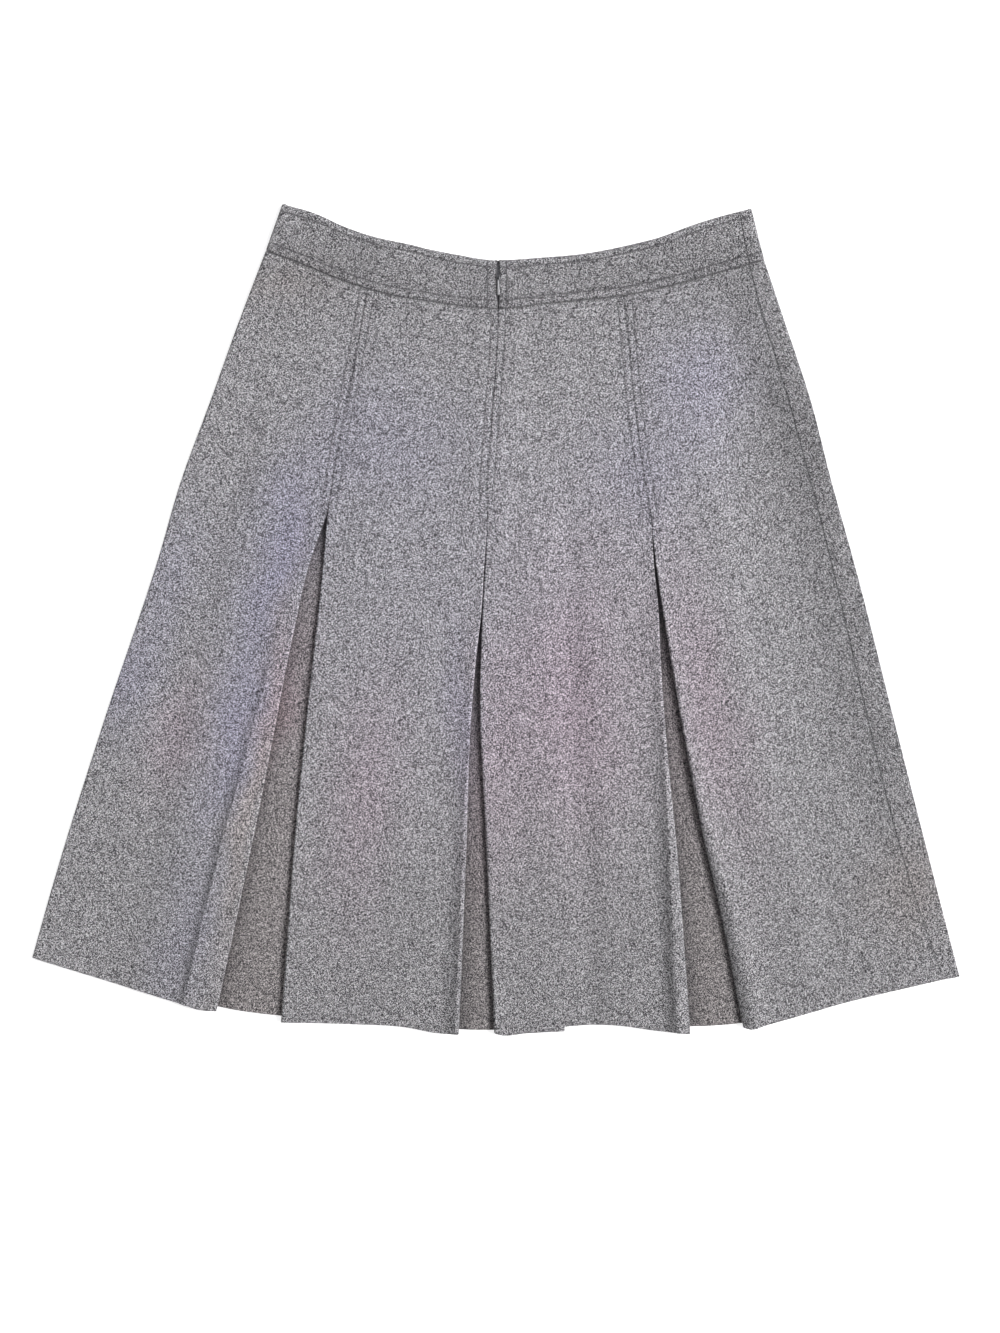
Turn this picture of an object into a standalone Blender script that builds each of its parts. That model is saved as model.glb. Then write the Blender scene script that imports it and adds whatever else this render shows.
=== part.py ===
"""Pleated A-line midi skirt in heathered wool, laid flat with its back up.

Metres, +Z up, the waist towards +Y. The origin is on the surface below the middle of the laid skirt.
The front lies at the bottom, the pleats' underlays and returns lie between, and the back panels on top.
Each cloth piece is a wall lofted through sections that run across the skirt, one at each station.
"""

import math

import bmesh
import bpy
import numpy as np

MM = 0.001

# Thicknesses and gaps, in millimetres.
CLOTH = 1.2
BAND_CLOTH = 2.0
LAYER_GAP = 0.4
SEAM_GAP = 0.4
TAPE_CLOTH = 0.8

# Stations from the waist seam, 0, to the hem, 1. The pleats are released at RELEASE.
RELEASE = 0.305
STATIONS = (
    0.0, 0.065, 0.135, 0.20, 0.265, RELEASE, 0.335, 0.37, 0.41, 0.46, 0.52, 0.585, 0.65, 0.72, 0.79, 0.86,
    0.93, 1.0,
)
BAND_STATIONS = (0.0, 0.18, 0.5, 0.82, 1.0)

# How far a pleat's return reaches under its panel, at the waist and at the hem.
RETURN_AT_WAIST = 46.0
RETURN_AT_HEM = 60.0
# The space left inside the flattened skirt along its side folds, at the waist and from the release down.
INSIDE_AT_WAIST = 3.0
INSIDE_BELOW = 1.0
# A panel comes down past a return's inner edge, on a slope of this width that starts this far out.
STEP_WIDTH = 24.0
STEP_START = 3.0
# Where sections have points: as shares of the depth, the slope or the roll, or as distances from an edge.
RETURN_MARKS = (1.0, 0.72, 0.45, 0.2)
STEP_MARKS = (0.0, 0.3, 0.7, 1.0)
ROLL_MARKS = ((0.5, 1.2), (1.0, 3.0))
REACH_MARKS = (0.35, 1.0)
REACH_SPACING = 2.0
UNDERLAY_MARKS = (0.0, 0.15, 0.3, 0.42, 0.5, 0.58, 0.7, 0.85, 1.0)
FLAP_MARKS = (1.0, 0.55)
FRONT_FLAP_MARKS = (0.0, 0.4, 0.75)
LEFT_SIDE_PLACES = (8.0, 24.0, 44.0)
SIDE_SEAM_PLACES = (5.0, 16.0, 28.0, 42.0)
# The share of a panel's width that its section points may take up where it is narrow.
PLACES_SHARE = 0.94
TURN_STEPS = 5
# The back-left pieces wrap under the left side fold as far as this.
LEFT_FLAP = 20.0
# The front's long run on the surface starts this far in from the right side fold, with points at these marks.
TURN_INSET = 4.5
FRONT_MARKS = (0.0, 0.07, 0.14, 0.22, 0.30, 0.38, 0.46, 0.54, 0.62, 0.70, 0.78, 0.86, 0.93, 1.0)

# The zip at the centre back lifts what lies over it.
ZIP_RISE = 1.2
BAND_ZIP_RISE = 0.7
ZIP_FLAT = 14.0
ZIP_FADE = 26.0
ZIP_END = 0.265
ZIP_GONE = 0.36
BAND_SLOT = 1.9
BAND_BACK_FLOOR = 4.0
# Beside the zip the back waistband's top edge lies a little below the front's, with a fade at both ends.
BAND_PEEK = 1.3
BAND_PEEK_SPAN = (-72.0, 2.0)
BAND_PEEK_FADES = (25.0, 8.0)
# The x of the waistband's right side seam at its top edge and at the waist seam.
BAND_SIDE_SEAM = (206.0, 214.5)
BAND_LEFT_MARKS = (0.1, 0.22, 0.34, 0.46, 0.58, 0.70, 0.8, 0.86, 0.9, 0.94, 0.97, 1.0)
BAND_RIGHT_MARKS = (0.0, 0.03, 0.06, 0.09, 0.13, 0.2, 0.32, 0.45, 0.58, 0.70, 0.8, 0.9, 1.0)
BAND_FLAP_MARKS = (0.0, 0.5)

# Lines across and along the skirt, as (x, y) in millimetres from the middle of the laid skirt.
BAND_TOP = (
    (-181.5, 352.5), (-153.5, 344.5), (-128.0, 333.0), (-102.5, 324.5), (-77.0, 319.0), (-38.5, 311.0),
    (1.5, 305.0), (38.0, 307.0), (76.0, 310.5), (114.5, 318.0), (140.0, 324.5), (165.5, 334.0),
    (191.0, 342.0), (217.0, 348.5),
)
WAIST_SEAM = (
    (-195.5, 313.0), (-168.5, 303.0), (-131.5, 288.0), (-94.0, 276.5), (-56.5, 270.0), (-19.0, 265.0),
    (2.0, 263.5), (37.0, 267.5), (74.5, 271.0), (112.0, 275.5), (149.0, 283.5), (186.5, 294.0),
    (228.0, 305.0),
)
SIDE_FOLD_LEFT = (
    (-195.5, 313.0), (-218.0, 254.0), (-242.5, 186.0), (-267.5, 118.0), (-287.5, 50.0), (-333.0, -86.0),
    (-375.5, -222.0), (-394.0, -287.5),
)
SIDE_FOLD_RIGHT = (
    (228.0, 305.0), (245.0, 254.0), (267.5, 186.0), (285.0, 118.0), (304.0, 50.0), (338.5, -86.0),
    (373.0, -222.0), (394.0, -303.5),
)
SIDE_SEAM = (
    (214.5, 302.0), (226.0, 258.5), (245.0, 197.0), (262.0, 136.0), (278.0, 75.0), (307.0, -47.5),
    (336.5, -170.0), (354.0, -231.0), (379.5, -306.0),
)
HEM_SIDE_LEFT = ((-394.0, -287.5), (-332.0, -306.5), (-265.0, -327.0), (-252.0, -331.0), (-236.0, -332.5))
HEM_CENTRE_LEFT = ((-182.5, -342.0), (-120.0, -343.5), (-77.0, -346.0), (-50.0, -351.0), (-32.5, -352.0))
HEM_CENTRE_RIGHT = (
    (-1.0, -351.0), (4.0, -352.5), (25.0, -349.5), (101.0, -344.5), (140.0, -349.5), (165.5, -351.5),
)
HEM_SIDE_RIGHT = ((210.5, -346.5), (215.0, -347.5), (230.0, -344.0), (293.0, -326.5), (379.5, -306.0))
HEM_SIDE_FLAP = ((379.5, -306.0), (394.0, -303.5))
HEM_FRONT = (
    (-394.0, -287.5), (-265.0, -324.0), (-182.5, -335.0), (-80.0, -342.0), (0.0, -345.0), (100.0, -341.5),
    (210.5, -337.0), (300.0, -321.5), (394.0, -303.5),
)
HEM_UNDERLAYS = {
    "left": ((-290.0, -313.0), (-234.0, -329.0), (-183.0, -336.5), (-120.0, -341.0)),
    "centre": ((-100.0, -342.5), (-30.0, -348.0), (-3.0, -348.5), (62.0, -346.0)),
    "right": ((100.0, -342.0), (165.0, -345.5), (210.0, -342.5), (275.0, -329.0)),
}

# Each pleat hangs from a stitched seam and opens below it between two pressed folds.
PLEATS = {
    "left": {
        "seam": ((-109.0, 280.5), (-114.5, 250.0), (-122.0, 209.0), (-130.0, 168.5), (-143.0, 91.0)),
        "left_fold": (
            (-143.0, 91.0), (-158.0, 48.5), (-171.5, -10.0), (-187.0, -89.0), (-199.3, -153.0),
            (-216.0, -234.5), (-237.0, -332.5),
        ),
        "right_fold": (
            (-143.0, 91.0), (-147.5, 37.5), (-156.0, -39.0), (-168.0, -154.0), (-182.5, -342.0),
        ),
    },
    "centre": {
        "seam": ((2.0, 263.5), (1.0, 235.0), (-1.5, 200.5), (-4.5, 160.0), (-7.5, 119.0), (-7.5, 76.5)),
        "left_fold": (
            (-7.5, 76.5), (-9.3, 55.0), (-12.3, 7.5), (-16.8, -32.5), (-21.0, -83.0), (-25.2, -196.5),
            (-31.5, -352.0),
        ),
        "right_fold": (
            (-7.5, 76.5), (-8.7, 55.0), (-11.3, 7.5), (-13.7, -70.5), (-8.8, -180.0), (-1.5, -351.0),
        ),
    },
    "right": {
        "seam": ((108.5, 275.0), (111.5, 245.0), (117.3, 184.0), (122.4, 143.0), (132.0, 81.0)),
        "left_fold": (
            (132.0, 81.0), (134.0, 46.0), (137.8, 7.5), (139.8, -36.5), (145.3, -113.0), (152.7, -188.0),
            (164.8, -351.5),
        ),
        "right_fold": (
            (132.0, 81.0), (135.3, 50.0), (145.0, -14.5), (162.0, -113.0), (174.9, -180.0), (189.3, -243.0),
            (209.8, -346.5),
        ),
    },
}

# Each fold's rolled edge, in millimetres at the hem. The cloth stands up by lift in a ridge, which lies at a
# distance of roll from the edge, has dropped by the share drop of that at the edge, and falls off over reach
# behind the ridge. Up the pleat the roll narrows with the opening to the power of roll_power, and the drop
# with it. hem_rise is how far the return's hem is raised above the panel's at its inner edge.
FOLDS = {
    "side_left_at_left_pleat": {
        "pleat": "left", "edge": "left_fold", "hem": HEM_SIDE_LEFT,
        "lift": 3.8, "roll": 28.0, "roll_power": 0.5, "reach": 8.5, "drop": 0.4, "hem_rise": 2.5,
    },
    "centre_left_at_left_pleat": {
        "pleat": "left", "edge": "right_fold", "hem": HEM_CENTRE_LEFT,
        "lift": 1.0, "roll": 1.5, "roll_power": 0.3, "reach": 26.0, "drop": 0.3, "hem_rise": 2.5,
    },
    "centre_left_at_centre_pleat": {
        "pleat": "centre", "edge": "left_fold", "hem": HEM_CENTRE_LEFT,
        "lift": 4.8, "roll": 3.0, "roll_power": 0.3, "reach": 15.0, "drop": 0.2, "hem_rise": 2.5,
    },
    "centre_right_at_centre_pleat": {
        "pleat": "centre", "edge": "right_fold", "hem": HEM_CENTRE_RIGHT,
        "lift": 1.6, "roll": 3.0, "roll_power": 0.3, "reach": 26.0, "drop": 0.4, "hem_rise": -4.3,
    },
    "centre_right_at_right_pleat": {
        "pleat": "right", "edge": "left_fold", "hem": HEM_CENTRE_RIGHT,
        "lift": 6.4, "roll": 10.5, "roll_power": 1.3, "reach": 14.0, "drop": 0.42, "hem_rise": 2.5,
    },
    "side_right_at_right_pleat": {
        "pleat": "right", "edge": "right_fold", "hem": HEM_SIDE_RIGHT,
        "lift": 5.4, "roll": 12.0, "roll_power": 1.6, "reach": 24.0, "drop": 0.95, "hem_rise": 2.5,
    },
}
LIFT_POWER = 0.5
SMALLEST_ROLL = 0.8
# A return rises by this share of its fold's edge, with a fade over this reach.
RETURN_SHARE = 0.7
RETURN_REACH = 8.0

# Soft folds across the top cloth: ends as (x, y), half width, and height, all in millimetres.
SOFT_FOLDS = (
    {"start": (172.0, 280.0), "end": (183.0, 150.0), "half_width": 9.0, "height": -0.8},
    {"start": (252.0, 225.0), "end": (285.0, -30.0), "half_width": 13.0, "height": -0.8},
    {"start": (35.0, 90.0), "end": (112.0, -5.0), "half_width": 12.0, "height": -0.8},
    {"start": (-75.0, -60.0), "end": (-58.0, -170.0), "half_width": 16.0, "height": -0.8},
)
SOFT_FOLD_FADE = 0.25
SOFT_FOLD_ROOM = 0.6
SIDE_FADE = 20.0

# The zip's slider and pull, in millimetres.
SLIDER_Y = 291.5
SLIDER_X = 1.8
SLIDER_PLATE = (7.0, 11.0, 0.9)
SLIDER_PLATE_AHEAD = 4.0
SLIDER_PLATE_FLOOR = 3.4
ARCH_THICKNESS = 1.0
ARCH_HALF_LENGTH = 2.4
ARCH_LEG = 0.9
ARCH_TOP = 9.2
ARCH_BAR = 0.6
ARCH_CORNER = 0.4
PLATE_CORNER = 0.3
WINDOW_FLOOR = 6.7
PULL_HEIGHT = 7.4
PULL_THICKNESS = 0.8
PULL_LENGTH = 17.0
PULL_EYE_HALF_WIDTH = 1.45
PULL_WAIST_HALF_WIDTH = 1.0
PULL_TIP_HALF_WIDTH = 1.35
PULL_END_BAR = 0.5
PULL_EYE_CORNER = (0.4, 0.3)
PULL_EYE_END = -3.2
PULL_WAIST_PLACE = -5.0
PULL_SHOULDER = 3.2
PULL_TIP_STEPS = 6
EYE_HOLE = (0.5, 3.4, 0.8)
TAPE_HALF_WIDTH = 11.0
# The tape's underside along the skirt, as (y, z).
TAPE_FLOOR = ((302.5, 2.4), (283.0, 2.4), (267.0, 3.2), (190.0, 3.2), (112.0, 3.2))
TAPE_TURNS_AT = 263.0

WOOL_COLOUR = (0.28, 0.265, 0.295, 1.0)
WOOL_SHADE_COLOUR = (0.24, 0.225, 0.25, 1.0)
TAPE_COLOUR = (0.13, 0.125, 0.14, 1.0)
METAL_COLOUR = (0.42, 0.41, 0.42, 1.0)


def smoothstep(value):
    """0 below 0, 1 above 1, and an even S between."""
    t = min(max(value, 0.0), 1.0)
    return t * t * (3.0 - 2.0 * t)


def curve_value(points, at, axis_in, axis_out):
    """One coordinate of a line through the points, read at a value of the other, by a smooth cubic."""
    ordered = sorted(points, key=lambda p: p[axis_in])
    a = np.array([p[axis_in] for p in ordered])
    b = np.array([p[axis_out] for p in ordered])
    slopes = np.gradient(b, a) if len(a) > 2 else np.full(2, (b[1] - b[0]) / (a[1] - a[0]))
    if at <= a[0]:
        return float(b[0] + slopes[0] * (at - a[0]))
    if at >= a[-1]:
        return float(b[-1] + slopes[-1] * (at - a[-1]))
    i = int(np.searchsorted(a, at)) - 1
    span = a[i + 1] - a[i]
    t = (at - a[i]) / span
    return float(
        (2 * t**3 - 3 * t**2 + 1) * b[i]
        + (t**3 - 2 * t**2 + t) * span * slopes[i]
        + (3 * t**2 - 2 * t**3) * b[i + 1]
        + (t**3 - t**2) * span * slopes[i + 1]
    )


def across(points, y):
    """The x of a line that runs down the skirt, at y."""
    return curve_value(points, y, 1, 0)


def along(points, x):
    """The y of a line that runs across the skirt, at x."""
    return curve_value(points, x, 0, 1)


def layer_middle(layer):
    """The height of the middle of a layer, 0 being the front that lies on the surface."""
    return layer * (CLOTH + LAYER_GAP) + CLOTH / 2


def inside_gap(v):
    """The space between the front and the back along the side folds."""
    return INSIDE_AT_WAIST + (INSIDE_BELOW - INSIDE_AT_WAIST) * smoothstep(v / RELEASE)


def resting_middle(v):
    """The height of the middle of the back cloth where only the front lies below it."""
    return 1.5 * CLOTH + inside_gap(v)


def return_depth(v):
    """How far a pleat's return reaches under its panel."""
    return RETURN_AT_WAIST + (RETURN_AT_HEM - RETURN_AT_WAIST) * v


def opening(v):
    """How far a pleat has opened, from 0 at its release to 1 at the hem."""
    return smoothstep((v - RELEASE) / (1.0 - RELEASE))


def zip_lift(x, y, v):
    """How much the zip's tape lifts the cloth over it."""
    seam = PLEATS["centre"]["seam"]
    middle = across(seam, max(y, seam[-1][1]))
    near = 1.0 - smoothstep((abs(x - middle) - ZIP_FLAT) / (ZIP_FADE - ZIP_FLAT))
    above = 1.0 - smoothstep((v - ZIP_END) / (ZIP_GONE - ZIP_END))
    return ZIP_RISE * near * above


def soft_fold_height(x, y):
    """The height that the soft folds add to the top cloth at a place."""
    total = 0.0
    for fold in SOFT_FOLDS:
        (x0, y0), (x1, y1) = fold["start"], fold["end"]
        dx, dy = x1 - x0, y1 - y0
        length = math.hypot(dx, dy)
        t = ((x - x0) * dx + (y - y0) * dy) / length**2
        off = abs((x - x0) * dy - (y - y0) * dx) / length
        ends = smoothstep(t / SOFT_FOLD_FADE) * smoothstep((1.0 - t) / SOFT_FOLD_FADE)
        total += fold["height"] * ends * math.exp(-((off / fold["half_width"]) ** 2))
    return total


def pleat_line(fold):
    """The seam and then the pressed fold of one side of a pleat, as a function of y."""
    pleat = PLEATS[fold["pleat"]]
    release_y = pleat["seam"][-1][1]

    def x_at(y):
        return across(pleat["seam"] if y > release_y else pleat[fold["edge"]], y)

    return x_at


def ridge_lift(fold, v):
    """How high a pleat's fold stands at its ridge, at a station."""
    return fold["lift"] * opening(v) ** LIFT_POWER


def edge_lift(fold, v):
    """How high a pleat's fold stands at its edge, at a station."""
    return ridge_lift(fold, v) * (1.0 - fold["drop"] * opening(v) ** fold["roll_power"])


def roll_width(fold, v):
    """The distance of a fold's ridge from its edge, at a station."""
    return max(SMALLEST_ROLL, fold["roll"] * opening(v) ** fold["roll_power"])


def fold_height(fold, distance, v):
    """How high a pleat's fold lifts the panel, at a distance from the fold."""
    roll, ridge, edge = roll_width(fold, v), ridge_lift(fold, v), edge_lift(fold, v)
    if distance < roll:
        return edge + (ridge - edge) * math.sin(math.pi / 2 * max(distance, 0.0) / roll)
    return ridge * max(1.0 - (distance - roll) / fold["reach"], 0.0) ** 2


def turn(edge_x, low, high, half_ply, side):
    """The middle line of a fold: an arc from its low layer up to its high one. side is -1 at a left edge."""
    radius = (high - low) / 2
    centre_x = edge_x - side * (radius + half_ply)
    points = []
    for i in range(TURN_STEPS + 1):
        angle = -math.pi / 2 + math.pi * i / TURN_STEPS
        x = centre_x + side * radius * math.cos(angle)
        points.append((x, (low + high) / 2 + radius * math.sin(angle)))
    return points


def offset_rings(rows, thickness):
    """The outer and inner points of each section, moved off its middle line to both sides evenly."""
    rings = []
    for row, thick in zip(rows, thickness):
        middle = np.array(row)
        steps = np.diff(middle[:, [0, 2]], axis=0)
        steps /= np.linalg.norm(steps, axis=1)[:, None]
        before = np.vstack([steps[:1], steps])
        after = np.vstack([steps, steps[-1:]])
        tangent = before + after
        tangent /= np.linalg.norm(tangent, axis=1)[:, None]
        stretch = 1.0 / np.maximum((tangent * after).sum(axis=1), 0.7)
        shift = np.zeros_like(middle)
        shift[:, 0] = -tangent[:, 1] * stretch * thick / 2
        shift[:, 2] = tangent[:, 0] * stretch * thick / 2
        rings.append(np.vstack([middle + shift, (middle - shift)[::-1]]))
    return rings


def material(name, colour, roughness, metallic=0.0):
    """A Principled material."""
    made = bpy.data.materials.new(name)
    made.use_nodes = True
    shader = made.node_tree.nodes["Principled BSDF"]
    shader.inputs["Base Color"].default_value = colour
    shader.inputs["Roughness"].default_value = roughness
    shader.inputs["Metallic"].default_value = metallic
    return made


def add_object(name, mesh, collection, surface):
    """Puts a mesh in the collection as a named object with its material."""
    made = bpy.data.objects.new(name, mesh)
    made.data.materials.clear()
    made.data.materials.append(surface)
    collection.objects.link(made)
    return made


def cloth_wall(name, rows, thickness, collection, surface):
    """A closed wall of cloth, lofted through the rings of its sections, with both ends closed."""
    rings = offset_rings(rows, thickness)
    count = len(rings[0])
    half = count // 2
    shape = bmesh.new()
    grid = [[shape.verts.new(point * MM) for point in ring] for ring in rings]
    for upper, lower in zip(grid, grid[1:]):
        for i in range(count):
            j = (i + 1) % count
            shape.faces.new((upper[i], lower[i], lower[j], upper[j]))
    for i in range(half - 1):
        j = count - 1 - i
        shape.faces.new((grid[0][i], grid[0][i + 1], grid[0][j - 1], grid[0][j]))
        shape.faces.new((grid[-1][i], grid[-1][j], grid[-1][j - 1], grid[-1][i + 1]))
    bmesh.ops.recalc_face_normals(shape, faces=shape.faces)
    mesh = bpy.data.meshes.new(name)
    shape.to_mesh(mesh)
    shape.free()
    return add_object(name, mesh, collection, surface)


class Crossing:
    """Where a vertical run of a piece crosses the waist seam and the hem, which gives its y at a station."""

    def __init__(self, hem, waist_gap=SEAM_GAP / 2):
        self.hem = hem
        self.waist_gap = waist_gap

    def y(self, x_top, x_bottom, v, hem_rise=0.0):
        """The y at a station of the run that starts at x_top and ends at x_bottom."""
        top = along(WAIST_SEAM, x_top) - self.waist_gap
        return top + (along(self.hem, x_bottom) + hem_rise - top) * v


def fold_return(fold, edge_x_at, crossing, v, side):
    """The middle points of a pleat's return at a station, from its inner edge to the turn, and the turn."""
    edge_top, edge_bottom, edge_x = edge_x_at(0.0), edge_x_at(1.0), edge_x_at(v)
    edge_y = crossing.y(edge_top, edge_bottom, v)
    lift = edge_lift(fold, v)
    rise = zip_lift(edge_x, edge_y, v)
    low = layer_middle(2) + RETURN_SHARE * lift + rise
    high = layer_middle(3) + lift + rise
    arc = turn(edge_x, low, high, CLOTH / 2, side)
    depth = return_depth(v)
    points = []
    for mark in RETURN_MARKS:
        x = edge_x - side * depth * mark
        x_top = edge_top - side * RETURN_AT_WAIST * mark
        x_bottom = edge_bottom - side * RETURN_AT_HEM * mark
        y = crossing.y(x_top, x_bottom, v, fold["hem_rise"] * mark)
        z = layer_middle(2) + RETURN_SHARE * lift * math.exp(-((depth * mark / RETURN_REACH) ** 2))
        points.append((x, y, z + zip_lift(x, y, v)))
    points += [(x, edge_y, z) for x, z in arc]
    return points, arc[-1][0]


def panel_rows(hem, left, right):
    """The sections of one back panel. left and right say how each edge ends."""
    crossing = Crossing(hem)
    rows = []
    for v in STATIONS:
        start, x_start = left.begin(crossing, v)
        end, x_end = right.begin(crossing, v)
        row = list(start)
        for x in run_places(x_start, x_end, left.distances(v), right.distances(v)):
            mark = (x - left.x(v)) / (right.x(v) - left.x(v))
            x_top = left.x(0.0) + (right.x(0.0) - left.x(0.0)) * mark
            x_bottom = left.x(1.0) + (right.x(1.0) - left.x(1.0)) * mark
            y = crossing.y(x_top, x_bottom, v)
            row.append((x, y, top_height(x, y, v, left, right)))
        rows.append(row + list(reversed(end)))
    return rows


def run_places(x_start, x_end, from_left, from_right):
    """The x of a section's points, given as distances from both ends and drawn in where it is narrow."""
    width = x_end - x_start
    reach = from_left[-1] + from_right[-1]
    scale = min(1.0, PLACES_SHARE * width / reach)
    places = [x_start + distance * scale for distance in from_left]
    far = [x_end - distance * scale for distance in reversed(from_right)]
    return places + [(places[-1] + far[0]) / 2] + far


def top_height(x, y, v, left, right):
    """The height of the middle of a back panel's cloth at a place."""
    base = resting_middle(v)
    stack = layer_middle(3)
    share, lift = 0.0, 0.0
    for edge in (left, right):
        if edge.fold is None:
            continue
        distance = abs(x - edge.x(v))
        share += 1.0 - smoothstep((distance - return_depth(v) - STEP_START) / STEP_WIDTH)
        lift += fold_height(edge.fold, distance, v)
    height = base + (stack - base) * min(share, 1.0) + lift
    near_side = min((abs(x - edge.x(v)) for edge in (left, right) if edge.fold is None), default=SIDE_FADE)
    soft = soft_fold_height(x, y) * min(1.0, near_side / SIDE_FADE)
    room = max(height - base, 0.0) + inside_gap(v) / 2
    return height + max(soft, -SOFT_FOLD_ROOM * room) + zip_lift(x, y, v)


class PleatEdge:
    """A panel's edge at a pleat: a turn, and the return that runs back under the panel."""

    def __init__(self, fold_name):
        self.fold = FOLDS[fold_name]
        self.side = 1 if self.fold["edge"] == "left_fold" else -1
        self.line = pleat_line(self.fold)
        pleat = PLEATS[self.fold["pleat"]]
        self.top_y = along(WAIST_SEAM, pleat["seam"][0][0])
        self.bottom_y = along(self.fold["hem"], pleat[self.fold["edge"]][-1][0])

    def x(self, v):
        """The x of the fold at a station."""
        return self.line(self.top_y + (self.bottom_y - self.top_y) * v) - self.side * SEAM_GAP / 2

    def begin(self, crossing, v):
        """The section's points from the return's inner edge to the turn's end, and the x where that ends."""
        return fold_return(self.fold, self.x, crossing, v, self.side)

    def distances(self, v):
        """Where the panel's section has points, as distances from this edge."""
        roll = roll_width(self.fold, v)
        places = [max(least, roll * mark) for mark, least in ROLL_MARKS]
        ridge = places[-1]
        for mark in REACH_MARKS:
            places.append(max(ridge + self.fold["reach"] * mark, places[-1] + REACH_SPACING))
        step = return_depth(v) + STEP_START
        return places + [(places[-1] + step) / 2] + [step + STEP_WIDTH * mark for mark in STEP_MARKS]


class LeftSideEdge:
    """The back-left panel's edge at the left side fold: a turn, and a flap that lies under the skirt."""

    fold = None

    def x(self, v):
        """The x of the side fold at a station."""
        (_, top_y), (_, bottom_y) = SIDE_FOLD_LEFT[0], SIDE_FOLD_LEFT[-1]
        return across(SIDE_FOLD_LEFT, top_y + (bottom_y - top_y) * v)

    def begin(self, crossing, v):
        """The section's points from the flap's inner edge to the end of the turn, and the x where it ends."""
        edge_x = self.x(v)
        arc = turn(edge_x, CLOTH / 2, resting_middle(v), CLOTH / 2, -1)
        points = []
        for mark in FLAP_MARKS:
            x_top, x_bottom = self.x(0.0) + LEFT_FLAP * mark, self.x(1.0) + LEFT_FLAP * mark
            points.append((edge_x + LEFT_FLAP * mark, crossing.y(x_top, x_bottom, v), CLOTH / 2))
        y = crossing.y(self.x(0.0), self.x(1.0), v)
        return points + [(x, y, z) for x, z in arc], arc[-1][0]

    def distances(self, v):
        """Where the panel's section has points, as distances from this edge."""
        return LEFT_SIDE_PLACES


class SideSeamEdge:
    """The back-right panel's edge at the side seam, where it meets the front's flap."""

    fold = None

    def x(self, v):
        """The x of the panel's edge at a station."""
        (_, top_y), (_, bottom_y) = SIDE_SEAM[0], SIDE_SEAM[-1]
        return across(SIDE_SEAM, top_y + (bottom_y - top_y) * v) - SEAM_GAP / 2

    def begin(self, crossing, v):
        """The section's last point, at the seam."""
        x = self.x(v)
        return [(x, crossing.y(self.x(0.0), self.x(1.0), v), resting_middle(v))], x

    def distances(self, v):
        """Where the panel's section has points, as distances from this edge."""
        return SIDE_SEAM_PLACES


def front_rows():
    """The sections of the front: the flap on top at the right, the turn, and the long run on the surface."""
    flap, under = Crossing(HEM_SIDE_FLAP), Crossing(HEM_FRONT)
    seam, left = SideSeamEdge(), LeftSideEdge()

    def right_x(v):
        (_, top_y), (_, bottom_y) = SIDE_FOLD_RIGHT[0], SIDE_FOLD_RIGHT[-1]
        return across(SIDE_FOLD_RIGHT, top_y + (bottom_y - top_y) * v)

    rows = []
    for v in STATIONS:
        half = CLOTH / 2
        arc = list(reversed(turn(right_x(v), half, resting_middle(v), half, 1)))
        row = []
        for mark in FRONT_FLAP_MARKS:
            x_top, x_bottom = (seam.x(s) + SEAM_GAP + (right_x(s) - seam.x(s)) * mark for s in (0.0, 1.0))
            x = seam.x(v) + SEAM_GAP + (arc[0][0] - seam.x(v) - SEAM_GAP) * mark
            row.append((x, flap.y(x_top, x_bottom, v), resting_middle(v)))
        y = under.y(right_x(0.0), right_x(1.0), v)
        row += [(x, y, z) for x, z in arc]
        for mark in FRONT_MARKS:
            starts = [right_x(s) - TURN_INSET for s in (0.0, 1.0, v)]
            stops = [left.x(s) + LEFT_FLAP + SEAM_GAP for s in (0.0, 1.0, v)]
            x_top, x_bottom, x = (a + (b - a) * mark for a, b in zip(starts, stops))
            row.append((x, under.y(x_top, x_bottom, v), half))
        rows.append(row)
    return rows


def underlay_rows(name):
    """The sections of a pleat's underlay, which lies between its two inner edges."""
    crossing = Crossing(HEM_UNDERLAYS[name])
    edges = {FOLDS[fold]["edge"]: PleatEdge(fold) for fold in FOLDS if FOLDS[fold]["pleat"] == name}
    rows = []
    for v in STATIONS:
        row = []
        for mark in UNDERLAY_MARKS:
            ends = []
            for s in (0.0, 1.0, v):
                left_x = edges["left_fold"].x(s) - return_depth(s)
                right_x = edges["right_fold"].x(s) + return_depth(s)
                ends.append(left_x + (right_x - left_x) * mark)
            row.append((ends[2], crossing.y(ends[0], ends[1], v), layer_middle(1)))
        rows.append(row)
    return rows


def band_peek(x):
    """How far the back waistband's top edge lies below the front's."""
    low, high = BAND_PEEK_SPAN
    low_fade, high_fade = BAND_PEEK_FADES
    return BAND_PEEK * smoothstep((x - low) / low_fade) * smoothstep((high - x) / high_fade)


def band_place(top_x, low_x, v, peek=0.0):
    """A point of the waistband between its top edge, 0, and the waist seam, 1."""
    top_y, low_y = along(BAND_TOP, top_x) - peek, along(WAIST_SEAM, low_x) + SEAM_GAP / 2
    return top_x + (low_x - top_x) * v, top_y + (low_y - top_y) * v


def band_back_middle(x):
    """The height of the middle of the back waistband, raised over the zip."""
    near = 1.0 - smoothstep((abs(x - SLIDER_X) - ZIP_FLAT) / (ZIP_FADE - ZIP_FLAT))
    return BAND_BACK_FLOOR + BAND_CLOTH / 2 + BAND_ZIP_RISE * near


def band_run(top_ends, low_ends, marks, v, height, lowered=False):
    """A run of band points between two ends, each given at the top edge and at the waist seam."""
    points = []
    for mark in marks:
        top_x = top_ends[0] + (top_ends[1] - top_ends[0]) * mark
        low_x = low_ends[0] + (low_ends[1] - low_ends[0]) * mark
        x, y = band_place(top_x, low_x, v, band_peek(top_x) if lowered else 0.0)
        points.append((x, y, height(x)))
    return points


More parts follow.
